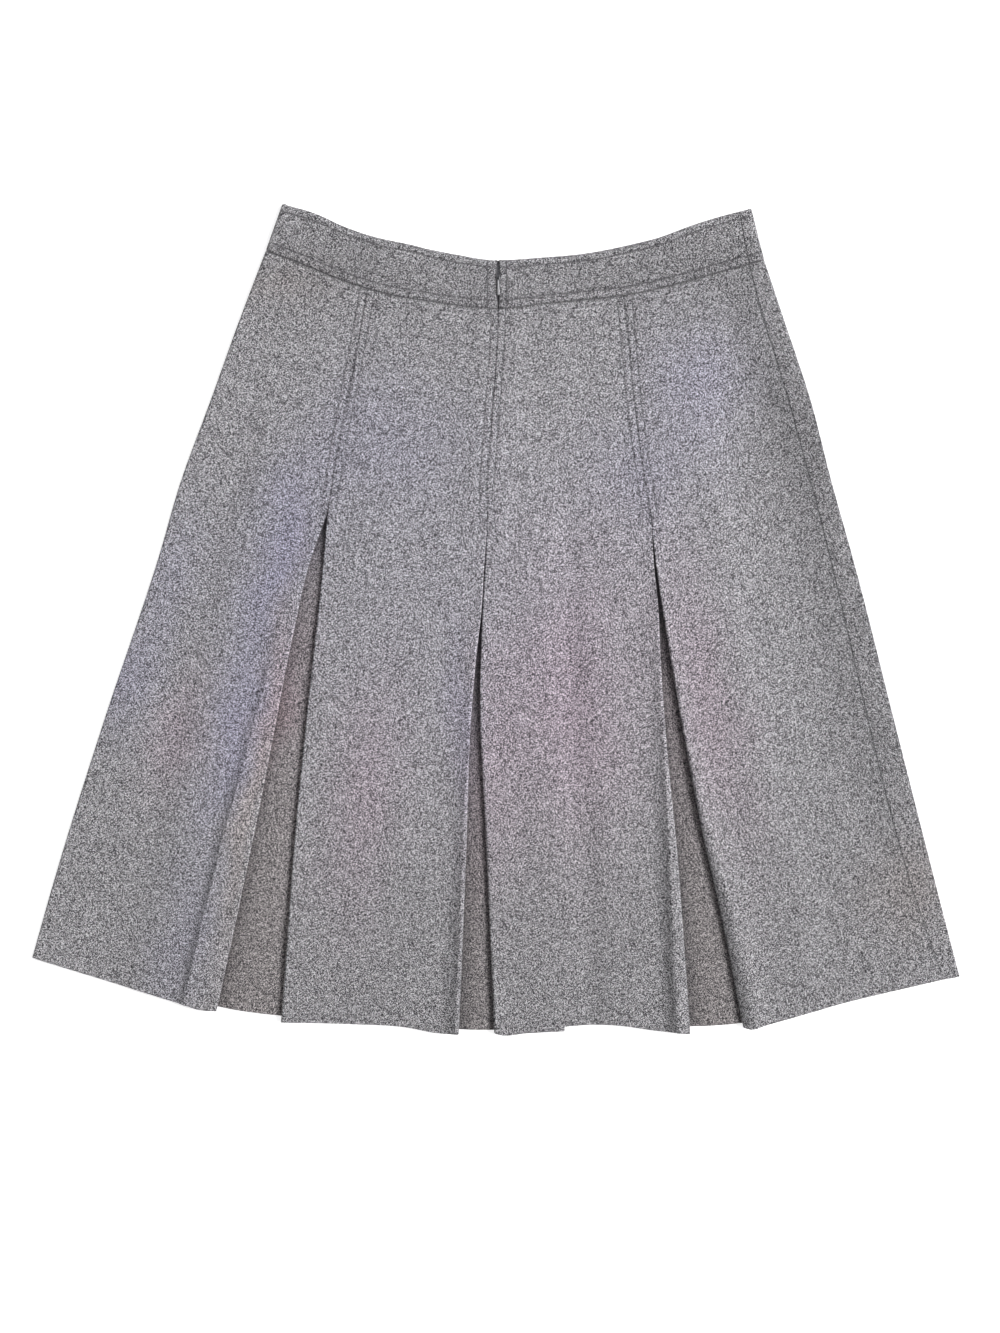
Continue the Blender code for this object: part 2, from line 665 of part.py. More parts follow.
def band_turn(top_x, low_x, v, side):
    """The turn of the waistband at a side fold."""
    x, y = band_place(top_x, low_x, v)
    arc = turn(x, BAND_CLOTH / 2, BAND_BACK_FLOOR + BAND_CLOTH / 2, BAND_CLOTH / 2, side)
    return [(px, y, pz) for px, pz in arc], arc[-1][0] - x


def band_back_left_rows():
    """The left half of the back waistband, from its flap under the skirt to the zip."""
    rows = []
    fold = (BAND_TOP[0][0], WAIST_SEAM[0][0])
    zip_x = SLIDER_X - BAND_SLOT / 2
    for v in BAND_STATIONS:
        arc, inset = band_turn(*fold, v, -1)
        flap = band_run(
            (fold[0] + LEFT_FLAP, fold[0] + inset),
            (fold[1] + LEFT_FLAP, fold[1] + inset),
            BAND_FLAP_MARKS, v, lambda x: BAND_CLOTH / 2,
        )
        ends = ((fold[0] + inset, zip_x), (fold[1] + inset, zip_x))
        run = band_run(*ends, BAND_LEFT_MARKS, v, band_back_middle, True)
        rows.append(flap + arc + run)
    return rows


def band_back_right_rows():
    """The right half of the back waistband, from the zip to its side seam."""
    zip_x = SLIDER_X + BAND_SLOT / 2
    top_ends, low_ends = ((zip_x, x - SEAM_GAP / 2) for x in BAND_SIDE_SEAM)
    return [band_run(top_ends, low_ends, BAND_RIGHT_MARKS, v, band_back_middle) for v in BAND_STATIONS]


def band_front_rows():
    """The front waistband: its short flap on top at the right, the turn, and the run on the surface."""
    rows = []
    fold = (BAND_TOP[-1][0], WAIST_SEAM[-1][0])
    starts = (BAND_SIDE_SEAM[0] + SEAM_GAP / 2, BAND_SIDE_SEAM[1] + SEAM_GAP / 2)
    stops = [x + LEFT_FLAP + SEAM_GAP for x in (BAND_TOP[0][0], WAIST_SEAM[0][0])]
    insets = [x - TURN_INSET for x in fold]
    for v in BAND_STATIONS:
        arc, inset = band_turn(*fold, v, 1)
        ends = [x + inset for x in fold]
        flap = band_run((starts[0], ends[0]), (starts[1], ends[1]), BAND_FLAP_MARKS, v, band_back_middle)
        runs = list(zip(insets, stops))
        under = band_run(*runs, FRONT_MARKS, v, lambda x: BAND_CLOTH / 2)
        rows.append(flap + list(reversed(arc)) + under)
    return rows


def tape_rows():
    """The zip's two tapes, closed into one strip that follows the centre back."""
    rows = []
    for y, floor in TAPE_FLOOR:
        middle = SLIDER_X if y > TAPE_TURNS_AT else across(PLEATS["centre"]["seam"], y)
        middle_z = floor + TAPE_CLOTH / 2
        rows.append([(middle + x, y, middle_z) for x in (-TAPE_HALF_WIDTH, 0.0, TAPE_HALF_WIDTH)])
    return rows


def flat_outline(name, splines, thickness, collection, surface):
    """A closed mesh from flat outlines in millimetres, filled and extruded to a thickness about z = 0."""
    curve = bpy.data.curves.new(name, "CURVE")
    curve.dimensions = "2D"
    curve.fill_mode = "BOTH"
    curve.extrude = thickness * MM / 2
    for outline in splines:
        spline = curve.splines.new("POLY")
        spline.points.add(len(outline) - 1)
        for point, (x, y) in zip(spline.points, outline):
            point.co = (x * MM, y * MM, 0.0, 1.0)
        spline.use_cyclic_u = True
    holder = bpy.data.objects.new(name + "_curve", curve)
    collection.objects.link(holder)
    bpy.context.view_layer.update()
    mesh = bpy.data.meshes.new_from_object(holder.evaluated_get(bpy.context.evaluated_depsgraph_get()))
    bpy.data.objects.remove(holder)
    shape = bmesh.new()
    shape.from_mesh(mesh)
    bmesh.ops.remove_doubles(shape, verts=shape.verts, dist=0.00001)
    bmesh.ops.recalc_face_normals(shape, faces=shape.faces)
    shape.to_mesh(mesh)
    shape.free()
    return add_object(name, mesh, collection, surface)


def zip_slider(collection, cutters, surface):
    """The slider: a plate under the band's ends, and an arch that stands through the slot between them."""
    half = ARCH_HALF_LENGTH
    floor = SLIDER_PLATE_FLOOR + SLIDER_PLATE[2] / 2
    outline = [
        (-half, floor), (half, floor), (half, ARCH_TOP - ARCH_CORNER), (half - ARCH_CORNER, ARCH_TOP),
        (ARCH_CORNER - half, ARCH_TOP), (-half, ARCH_TOP - ARCH_CORNER),
    ]
    inner, window_top = half - ARCH_LEG, ARCH_TOP - ARCH_BAR
    window = [(-inner, WINDOW_FLOOR), (-inner, window_top), (inner, window_top), (inner, WINDOW_FLOOR)]
    arch = flat_outline("zip_arch", [outline, window], ARCH_THICKNESS, cutters, surface)
    arch.rotation_euler = (math.pi / 2, 0.0, math.pi / 2)
    arch.location = (SLIDER_X * MM, SLIDER_Y * MM, 0.0)
    arch.hide_render = True
    arch.display_type = "WIRE"

    plate_mesh = bpy.data.meshes.new("zip_slider")
    shape = bmesh.new()
    bmesh.ops.create_cube(shape, size=1.0)
    bmesh.ops.scale(shape, verts=shape.verts, vec=[side * MM for side in SLIDER_PLATE])
    shape.to_mesh(plate_mesh)
    shape.free()
    slider = add_object("zip_slider", plate_mesh, collection, surface)
    slider.location = (
        SLIDER_X * MM, (SLIDER_Y + SLIDER_PLATE_AHEAD) * MM, (SLIDER_PLATE_FLOOR + SLIDER_PLATE[2] / 2) * MM,
    )
    rounding = slider.modifiers.new("corners", "BEVEL")
    rounding.width = PLATE_CORNER * MM
    rounding.segments = 1
    join = slider.modifiers.new("arch", "BOOLEAN")
    join.operation = "UNION"
    join.object = arch
    return slider


def zip_pull(collection, surface):
    """The pull: a long drop with an eye, whose end bar lies in the arch's window on the hinge's axis."""
    corner_x, corner_y = PULL_EYE_CORNER
    right = [
        (PULL_EYE_HALF_WIDTH - corner_x, PULL_END_BAR), (PULL_EYE_HALF_WIDTH, PULL_END_BAR - corner_y),
        (PULL_EYE_HALF_WIDTH, PULL_EYE_END), (PULL_WAIST_HALF_WIDTH, PULL_WAIST_PLACE),
        (PULL_TIP_HALF_WIDTH, PULL_SHOULDER - PULL_LENGTH),
    ]
    tip_y = PULL_TIP_HALF_WIDTH - PULL_LENGTH
    tip = []
    for i in range(PULL_TIP_STEPS + 1):
        angle = -math.pi * i / PULL_TIP_STEPS
        tip.append((PULL_TIP_HALF_WIDTH * math.cos(angle), tip_y + PULL_TIP_HALF_WIDTH * math.sin(angle)))
    outline = right + tip + [(-x, y) for x, y in reversed(right)]
    near, far, half = EYE_HOLE
    hole = [(-half, -near), (half, -near), (half, -far), (-half, -far)]
    pull = flat_outline("zip_pull", [outline, hole], PULL_THICKNESS, collection, surface)
    pull.location = (SLIDER_X * MM, SLIDER_Y * MM, PULL_HEIGHT * MM)
    return pull


def build():
    """Builds the whole skirt."""
    for old in list(bpy.data.objects):
        bpy.data.objects.remove(old)
    parts = bpy.data.collections.new("pleated_skirt")
    cutters = bpy.data.collections.new("cutters")
    bpy.context.scene.collection.children.link(parts)
    bpy.context.scene.collection.children.link(cutters)
    wool = material("wool", WOOL_COLOUR, 0.92)
    wool_shade = material("wool_inside", WOOL_SHADE_COLOUR, 0.95)
    tape = material("zip_tape", TAPE_COLOUR, 0.8)
    metal = material("zip_metal", METAL_COLOUR, 0.35, 0.9)

    plies = [CLOTH] * len(STATIONS)
    centre_left = (PleatEdge("centre_left_at_left_pleat"), PleatEdge("centre_left_at_centre_pleat"))
    centre_right = (PleatEdge("centre_right_at_centre_pleat"), PleatEdge("centre_right_at_right_pleat"))
    panels = {
        "back_side_panel_left": (HEM_SIDE_LEFT, LeftSideEdge(), PleatEdge("side_left_at_left_pleat")),
        "back_centre_panel_left": (HEM_CENTRE_LEFT, *centre_left),
        "back_centre_panel_right": (HEM_CENTRE_RIGHT, *centre_right),
        "back_side_panel_right": (HEM_SIDE_RIGHT, PleatEdge("side_right_at_right_pleat"), SideSeamEdge()),
    }
    for name, (hem, left, right) in panels.items():
        cloth_wall(name, panel_rows(hem, left, right), plies, parts, wool)
    cloth_wall("front_panel", front_rows(), plies, parts, wool)
    for name in PLEATS:
        cloth_wall("pleat_underlay_" + name, underlay_rows(name), plies, parts, wool_shade)
    band = [BAND_CLOTH] * len(BAND_STATIONS)
    cloth_wall("waistband_back_left", band_back_left_rows(), band, parts, wool)
    cloth_wall("waistband_back_right", band_back_right_rows(), band, parts, wool)
    cloth_wall("waistband_front", band_front_rows(), band, parts, wool)
    cloth_wall("zip_tape", tape_rows(), [TAPE_CLOTH] * len(TAPE_FLOOR), parts, tape)
    zip_slider(parts, cutters, metal)
    zip_pull(parts, metal)


build()
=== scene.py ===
"""Looks of the pleated midi skirt, laid flat with its back up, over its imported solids.

Each cloth piece is a thin shell on its solid's form: a middle surface worked out on a grid, moved out to
both sides by half the cloth's thickness and closed round its rim. Sizes are in millimetres up to the mesh.
"""

import logging
import math
from dataclasses import dataclass, field
from enum import Enum

import bpy
import numpy as np
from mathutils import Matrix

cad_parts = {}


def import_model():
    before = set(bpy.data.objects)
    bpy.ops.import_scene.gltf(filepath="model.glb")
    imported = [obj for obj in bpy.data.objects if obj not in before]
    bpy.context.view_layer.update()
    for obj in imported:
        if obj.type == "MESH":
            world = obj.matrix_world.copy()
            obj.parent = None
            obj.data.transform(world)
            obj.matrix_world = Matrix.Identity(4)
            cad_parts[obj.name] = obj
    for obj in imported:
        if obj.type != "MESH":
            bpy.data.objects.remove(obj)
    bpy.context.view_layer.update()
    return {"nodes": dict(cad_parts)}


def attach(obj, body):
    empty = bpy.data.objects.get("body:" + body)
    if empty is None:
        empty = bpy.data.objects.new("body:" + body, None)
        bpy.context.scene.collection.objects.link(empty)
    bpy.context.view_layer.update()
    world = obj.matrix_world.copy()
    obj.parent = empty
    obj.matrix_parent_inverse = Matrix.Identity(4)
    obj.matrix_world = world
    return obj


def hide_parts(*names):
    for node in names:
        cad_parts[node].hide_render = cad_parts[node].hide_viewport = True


Array = np.ndarray
Point = tuple[float, float]
Colour = tuple[float, float, float, float]
Socket = bpy.types.NodeSocket

MM = 0.001
SKIRT_BODY = "skirt"
PULL_BODY = "zip_pull"
log = logging.getLogger("skirt")


class Side(Enum):
    """The side of a panel or of a pleat that an edge is on, as its direction along X."""

    LEFT = -1
    RIGHT = 1


def smoothstep(value: Array) -> Array:
    """0 below 0, 1 above 1, and an even S between."""
    t = np.clip(value, 0.0, 1.0)
    return t * t * (3.0 - 2.0 * t)


def bell(distance: Array, half_width: float) -> Array:
    """A bell curve of height 1: e to the minus square of the distance over its half width."""
    return np.exp(-((distance / half_width) ** 2))


@dataclass(frozen=True)
class SmoothLine:
    """A smooth line on the laid skirt through given points, as (x, y)."""

    points: tuple[Point, ...]

    def _read(self, at: Array, axis: int) -> Array:
        """Reads the other coordinate by a cubic between the points, straight past the ends.

        Args:
            at: values of the coordinate that is known.
            axis: 0 where x is known, 1 where y is.

        Returns:
            The other coordinate at each value.
        """
        ordered = sorted(self.points, key=lambda point: point[axis])
        a = np.array([point[axis] for point in ordered])
        b = np.array([point[1 - axis] for point in ordered])
        slopes = np.gradient(b, a) if len(a) > 2 else np.full(2, (b[1] - b[0]) / (a[1] - a[0]))
        at = np.asarray(at, float)
        i = np.clip(np.searchsorted(a, at) - 1, 0, len(a) - 2)
        span = a[i + 1] - a[i]
        t = np.clip((at - a[i]) / span, 0.0, 1.0)
        inside = (
            (2 * t**3 - 3 * t**2 + 1) * b[i]
            + (t**3 - 2 * t**2 + t) * span * slopes[i]
            + (3 * t**2 - 2 * t**3) * b[i + 1]
            + (t**3 - t**2) * span * slopes[i + 1]
        )
        before = np.minimum(at - a[0], 0.0) * slopes[0]
        after = np.maximum(at - a[-1], 0.0) * slopes[-1]
        return inside + before + after

    def x_at(self, y: Array) -> Array:
        """The x of a line that runs down the skirt, at y."""
        return self._read(y, 1)

    def y_at(self, x: Array) -> Array:
        """The y of a line that runs across the skirt, at x."""
        return self._read(x, 0)

    def x_down(self, v: Array) -> Array:
        """The x at a station of a line that runs down the skirt, 0 at its first point and 1 at its last."""
        (_, top), (_, bottom) = self.points[0], self.points[-1]
        return self.x_at(top + (bottom - top) * v)


@dataclass(frozen=True)
class Press:
    """A line pressed or puffed into cloth: its depth, and its painted shade on the wool, each a bell across
    it.

    A depth below 0 stands up, and a shade below 0 is painted highlight.
    """

    depth: float
    half_width: float
    shade: float = 0.0
    shade_half_width: float = 1.0

    def relief(self, distance: Array) -> Array:
        """The change in height at a distance from the line."""
        return -self.depth * bell(distance, self.half_width)

    def shading(self, distance: Array) -> Array:
        """The painted shade at a distance from the line."""
        return self.shade * bell(distance, self.shade_half_width)


@dataclass(frozen=True)
class Cloth:
    """The wool and how its layers lie on each other. Layer 0 is the front, on the surface."""

    thickness: float = 1.2
    band_thickness: float = 2.0
    layer_gap: float = 0.4
    inside_at_waist: float = 3.0
    inside_below: float = 1.0
    release: float = 0.305
    return_at_waist: float = 46.0
    return_at_hem: float = 60.0
    step_width: float = 24.0
    step_start: float = 3.0
    return_share: float = 0.7
    return_reach: float = 8.0
    opens_over: float = 0.03
    least_roll: float = 0.8
    zip_rise: float = 1.2
    zip_flat: float = 14.0
    zip_fade: float = 26.0
    zip_end: float = 0.265
    zip_gone: float = 0.36

    def layer_middle(self, layer: int) -> float:
        """The height of the middle of a layer."""
        return layer * (self.thickness + self.layer_gap) + self.thickness / 2

    def resting_middle(self, v: Array) -> Array:
        """The height of the middle of the back cloth where only the front lies below it."""
        fall = smoothstep(v / self.release)
        return 1.5 * self.thickness + self.inside_at_waist + (self.inside_below - self.inside_at_waist) * fall

    def return_depth(self, v: Array) -> Array:
        """How far a pleat's return reaches under its panel."""
        return self.return_at_waist + (self.return_at_hem - self.return_at_waist) * v

    def opening(self, v: Array) -> Array:
        """How far a pleat has opened, from 0 at its release to 1 at the hem."""
        return smoothstep((v - self.release) / (1.0 - self.release))

    def zip_lift(self, x: Array, y: Array, v: Array) -> Array:
        """How much the zip's tape lifts the cloth over it: level over the tape, and an S down on all sides.

        Args:
            x: the places across the skirt.
            y: the places along it.
            v: their stations.

        Returns:
            The lift.
        """
        middle = CENTRE_PLEAT.seam.x_at(np.maximum(y, CENTRE_PLEAT.seam.points[-1][1]))
        near = 1.0 - smoothstep((np.abs(x - middle) - self.zip_flat) / (self.zip_fade - self.zip_flat))
        return self.zip_rise * near * (1.0 - smoothstep((v - self.zip_end) / (self.zip_gone - self.zip_end)))


@dataclass(frozen=True)
class Pleat:
    """An inverted pleat: a stitched seam, and the two pressed folds that part below it."""

    seam: SmoothLine
    left_fold: SmoothLine
    right_fold: SmoothLine

    def edge_x(self, side: Side, y: Array) -> Array:
        """The x of the seam and, below it, of the fold on one side of the opening."""
        fold = self.left_fold if side is Side.LEFT else self.right_fold
        return np.where(y > self.seam.points[-1][1], self.seam.x_at(y), fold.x_at(y))


@dataclass(frozen=True)
class Fold:
    """One side of a pleat, as its panel's rolled edge. Sizes are those at the hem.

    The cloth stands up by lift in a ridge, which lies at a distance of roll from the edge. At the edge it has
    dropped by a share of that, and behind the ridge it falls off over reach, steepest at the ridge. Up the
    pleat the roll narrows with the opening to the power of roll_power, and the drop with it. hem_rise is how
    much shorter the return is at its inner edge. crest is 0 for a round ridge, and 1 for a sharp one.
    """

    pleat: Pleat
    side: Side
    lift: float
    roll: float
    roll_power: float
    reach: float
    drop: float
    hem_rise: float
    crest: float

    def lift_at(self, v: Array) -> Array:
        """The ridge's height at a station: it grows with the square root of the opening."""
        return self.lift * np.sqrt(CLOTH.opening(v))

    def edge_lift(self, v: Array) -> Array:
        """The height of the edge itself at a station."""
        return self.lift_at(v) * (1.0 - self.drop * CLOTH.opening(v) ** self.roll_power)

    def roll_at(self, v: Array) -> Array:
        """The ridge's distance from the edge at a station."""
        return np.maximum(CLOTH.least_roll, self.roll * CLOTH.opening(v) ** self.roll_power)

    def height(self, distance: Array, v: Array) -> Array:
        """The height at a distance from the edge.

        It is a quarter sine up to a round ridge, or a rising power up to a sharp one, and then a falling
        parabola.

        Args:
            distance: how far in from the edge.
            v: the stations.

        Returns:
            The height above the layers below.
        """
        roll = self.roll_at(v)
        edge, ridge = self.edge_lift(v), self.lift_at(v)
        share = np.clip(distance / roll, 0.0, 1.0)
        rise = (1.0 - self.crest) * np.sin(np.pi / 2 * share) + self.crest * share**1.6
        rising = edge + (ridge - edge) * rise
        falling = ridge * np.clip(1.0 - (distance - roll) / self.reach, 0.0, 1.0) ** 2
        return np.where(distance < roll, rising, falling)


@dataclass(frozen=True)
class Crease:
    """A soft trough or ridge across a panel, from start to end, with a rise below 0 for a trough."""

    start: Point
    end: Point
    half_width: float
    rise: float
    fade: float = 0.3

    def height(self, x: Array, y: Array) -> Array:
        """The crease's height: a bell across it, times an S that fades it in and out at both ends.

        Args:
            x: the places across the skirt.
            y: the places along it.

        Returns:
            The change in height.
        """
        (x0, y0), (x1, y1) = self.start, self.end
        dx, dy = x1 - x0, y1 - y0
        length = math.hypot(dx, dy)
        along = ((x - x0) * dx + (y - y0) * dy) / length**2
        off = ((x - x0) * dy - (y - y0) * dx) / length
        fade = smoothstep(along / self.fade) * smoothstep((1.0 - along) / self.fade)
        return self.rise * fade * bell(off, self.half_width)


@dataclass(frozen=True)
class Ripple:
    """The cloth's own unevenness: long low waves that cross each other, on a slow bend.

    Each wave is its length, its direction in degrees, its phase and its height.
    """

    waves: tuple[tuple[float, float, float, float], ...] = (
        (173.0, 62.0, 0.4, 0.16),
        (121.0, -38.0, 1.9, 0.12),
        (96.0, 84.0, 3.1, 0.10),
        (67.0, 14.0, 5.2, 0.06),
        (52.0, -71.0, 2.6, 0.045),
    )
    bend: float = 14.0
    bend_length: float = 311.0

    def height(self, x: Array, y: Array) -> Array:
        """The sum of the waves, each a sine of the distance along its own direction.

        Args:
            x: the places across the skirt.
            y: the places along it.

        Returns:
            The change in height.
        """
        total = np.zeros_like(x)
        for length, degrees, phase, amplitude in self.waves:
            across = x * math.cos(math.radians(degrees)) + y * math.sin(math.radians(degrees))
            bend = self.bend * np.sin(2 * np.pi * (x - y) / self.bend_length + phase)
            total += amplitude * np.sin(2 * np.pi * (across + bend) / length + phase)
        return total


CLOTH = Cloth()
RIPPLE = Ripple()

BAND_TOP = SmoothLine((
    (-181.5, 352.5), (-153.5, 344.5), (-128.0, 333.0), (-102.5, 324.5), (-77.0, 319.0), (-38.5, 311.0),
    (1.5, 305.0), (38.0, 307.0), (76.0, 310.5), (114.5, 318.0), (140.0, 324.5), (165.5, 334.0),
    (191.0, 342.0), (217.0, 348.5),
))
WAIST_SEAM = SmoothLine((
    (-195.5, 313.0), (-168.5, 303.0), (-131.5, 288.0), (-94.0, 276.5), (-56.5, 270.0), (-19.0, 265.0),
    (2.0, 263.5), (37.0, 267.5), (74.5, 271.0), (112.0, 275.5), (149.0, 283.5), (186.5, 294.0),
    (228.0, 305.0),
))
SIDE_FOLD_LEFT = SmoothLine((
    (-195.5, 313.0), (-218.0, 254.0), (-242.5, 186.0), (-267.5, 118.0), (-287.5, 50.0), (-333.0, -86.0),
    (-375.5, -222.0), (-394.0, -287.5),
))
SIDE_FOLD_RIGHT = SmoothLine((
    (228.0, 305.0), (245.0, 254.0), (267.5, 186.0), (285.0, 118.0), (304.0, 50.0), (338.5, -86.0),
    (373.0, -222.0), (394.0, -303.5),
))
SIDE_SEAM = SmoothLine((
    (214.5, 302.0), (226.0, 258.5), (245.0, 197.0), (262.0, 136.0), (278.0, 75.0), (307.0, -47.5),
    (336.5, -170.0), (354.0, -231.0), (379.5, -306.0),
))
HEM_SIDE_LEFT = SmoothLine((
    (-394.0, -287.5), (-332.0, -306.5), (-265.0, -327.0), (-252.0, -331.0), (-236.0, -332.5),
))
HEM_CENTRE_LEFT = SmoothLine((
    (-182.5, -342.0), (-120.0, -343.5), (-77.0, -346.0), (-50.0, -351.0), (-32.5, -352.0),
))
HEM_CENTRE_RIGHT = SmoothLine((
    (-1.0, -351.0), (4.0, -352.5), (25.0, -349.5), (101.0, -344.5), (140.0, -349.5), (165.5, -351.5),
))
HEM_SIDE_RIGHT = SmoothLine((
    (210.5, -346.5), (215.0, -347.5), (230.0, -344.0), (293.0, -326.5), (379.5, -306.0),
))
HEM_SIDE_FLAP = SmoothLine(((379.5, -306.0), (394.0, -303.5)))
HEM_FRONT = SmoothLine((
    (-394.0, -287.5), (-265.0, -324.0), (-182.5, -335.0), (-80.0, -342.0), (0.0, -345.0), (100.0, -341.5),
    (210.5, -337.0), (300.0, -321.5), (394.0, -303.5),
))
HEM_UNDERLAY_LEFT = SmoothLine(((-290.0, -313.0), (-234.0, -329.0), (-183.0, -336.5), (-120.0, -341.0)))
HEM_UNDERLAY_CENTRE = SmoothLine(((-100.0, -342.5), (-30.0, -348.0), (-3.0, -348.5), (62.0, -346.0)))
HEM_UNDERLAY_RIGHT = SmoothLine(((100.0, -342.0), (165.0, -345.5), (210.0, -342.5), (275.0, -329.0)))

LEFT_PLEAT = Pleat(
    seam=SmoothLine(((-109.0, 280.5), (-114.5, 250.0), (-122.0, 209.0), (-130.0, 168.5), (-143.0, 91.0))),
    left_fold=SmoothLine((
        (-143.0, 91.0), (-158.0, 48.5), (-171.5, -10.0), (-187.0, -89.0), (-199.3, -153.0),
        (-216.0, -234.5), (-237.0, -332.5),
    )),
    right_fold=SmoothLine((
        (-143.0, 91.0), (-147.5, 37.5), (-156.0, -39.0), (-168.0, -154.0), (-182.5, -342.0),
    )),
)
CENTRE_PLEAT = Pleat(
    seam=SmoothLine(((2.0, 263.5), (1.0, 235.0), (-1.5, 200.5), (-4.5, 160.0), (-7.5, 119.0), (-7.5, 76.5))),
    left_fold=SmoothLine((
        (-7.5, 76.5), (-9.3, 55.0), (-12.3, 7.5), (-16.8, -32.5), (-21.0, -83.0), (-25.2, -196.5),
        (-31.5, -352.0),
    )),
    right_fold=SmoothLine((
        (-7.5, 76.5), (-8.7, 55.0), (-11.3, 7.5), (-13.7, -70.5), (-8.8, -180.0), (-1.5, -351.0),
    )),
)
RIGHT_PLEAT = Pleat(
    seam=SmoothLine(((108.5, 275.0), (111.5, 245.0), (117.3, 184.0), (122.4, 143.0), (132.0, 81.0))),
    left_fold=SmoothLine((
        (132.0, 81.0), (134.0, 46.0), (137.8, 7.5), (139.8, -36.5), (145.3, -113.0), (152.7, -188.0),
        (164.8, -351.5),
    )),
    right_fold=SmoothLine((
        (132.0, 81.0), (135.3, 50.0), (145.0, -14.5), (162.0, -113.0), (174.9, -180.0), (189.3, -243.0),
        (209.8, -346.5),
    )),
)

CREASES = (
    Crease((174.0, 285.0), (183.0, 130.0), 6.5, -1.2),
    Crease((252.0, 225.0), (285.0, -30.0), 13.0, -0.8),
    Crease((35.0, 90.0), (112.0, -5.0), 11.0, -1.1),
    Crease((-75.0, -60.0), (-58.0, -170.0), 16.0, -0.8),
    Crease((193.0, 296.0), (209.0, 200.0), 5.5, -1.5),
    Crease((183.0, 300.0), (176.0, 30.0), 8.0, 0.7),
    Crease((176.0, 120.0), (158.0, 5.0), 8.0, -0.45),
    Crease((22.0, 282.0), (40.0, 150.0), 6.5, -0.6),
    Crease((48.0, 285.0), (54.0, 130.0), 9.0, 0.35),
    Crease((-60.0, 255.0), (-48.0, 95.0), 12.0, -0.4),
    Crease((-168.0, 290.0), (-196.0, 70.0), 13.0, -0.4),
    Crease((-120.0, 20.0), (-96.0, -250.0), 20.0, 0.5),
    Crease((40.0, -60.0), (66.0, -290.0), 22.0, 0.45),
    Crease((-300.0, -30.0), (-338.0, -240.0), 20.0, 0.4),
    Crease((-262.0, 20.0), (-286.0, -250.0), 18.0, -0.5),
    Crease((262.0, -120.0), (300.0, -290.0), 22.0, -0.5),
    Crease((225.0, -20.0), (256.0, -250.0), 20.0, 0.4),
    Crease((-250.0, 170.0), (-205.0, 60.0), 14.0, -0.35),
    Crease((96.0, 10.0), (120.0, -150.0), 14.0, 0.35),
    Crease((80.0, 85.0), (77.0, -140.0), 13.0, 0.55),
)


# The half thickness at a sheet's rim, as a share of that inside it.
RIM_SHARE = 0.15


@dataclass
class ClothGrid:
    """A cloth's middle surface on a grid of stations and columns.

    The weave's coordinates are in metres on the flat cloth.
    The shade is painted shade, up to 1, which darkens the wool in a seam (partly the seam's own dark line),
    under stitching, in a slit and beside a fold; below 0 it is painted highlight, where the cloth is puffed
    up.
    """

    middle: Array
    thickness: float
    weave: Array
    shade: Array

    def normals(self) -> Array:
        """Unit normals: the cross product of the grid's steps down and across, up on the top run."""
        down = np.gradient(self.middle, axis=0)
        over = np.gradient(self.middle, axis=1)
        normal = np.cross(down, over)
        return normal / np.maximum(np.linalg.norm(normal, axis=2, keepdims=True), 1e-9)

    def half_thickness(self) -> Array:
        """Half the thickness, rounded off to a semicircle by the distance from the rim, and blunt at it."""
        rows = np.linalg.norm(np.diff(self.middle, axis=0), axis=2)
        columns = np.linalg.norm(np.diff(self.middle, axis=1), axis=2)
        zero_row = np.zeros((1, self.middle.shape[1]))
        zero_column = np.zeros((self.middle.shape[0], 1))
        down = np.vstack([zero_row, np.cumsum(rows, axis=0)])
        over = np.hstack([zero_column, np.cumsum(columns, axis=1)])
        inside = np.minimum.reduce([down, down[-1] - down, over, over[:, -1:] - over])
        half = self.thickness / 2
        near = 1.0 - np.clip(inside / half, 0.0, 1.0)
        return half * np.maximum(np.sqrt(1.0 - near**2), RIM_SHARE)

    def shell(self, name: str) -> bpy.types.Object:
        """Makes the closed shell: the outer and inner surfaces and a strip round their rim.

        Args:
            name: the piece's name.

        Returns:
            The new object, with its weave as a UV map and its painted shade as an attribute.
        """
        shift = self.normals() * self.half_thickness()[..., None]
        rows, columns = self.middle.shape[:2]
        count = rows * columns
        points = np.concatenate([(self.middle + shift).reshape(-1, 3), (self.middle - shift).reshape(-1, 3)])
        index = np.arange(count).reshape(rows, columns)
        corners = (index[:-1, :-1], index[1:, :-1], index[1:, 1:], index[:-1, 1:])
        top = np.stack(corners, axis=-1).reshape(-1, 4)
        bottom = top[:, ::-1] + count
        ring = np.concatenate([index[:-1, 0], index[-1, :-1], index[:0:-1, -1], index[0, :0:-1]])
        after = np.roll(ring, -1)
        rim = np.stack([ring, ring + count, after + count, after], axis=-1)
        weave = np.concatenate([self.weave.reshape(-1, 2)] * 2)
        shade = np.concatenate([self.shade.reshape(-1)] * 2)
        return mesh_object(name, points, np.concatenate([top, bottom, rim]), weave, shade)


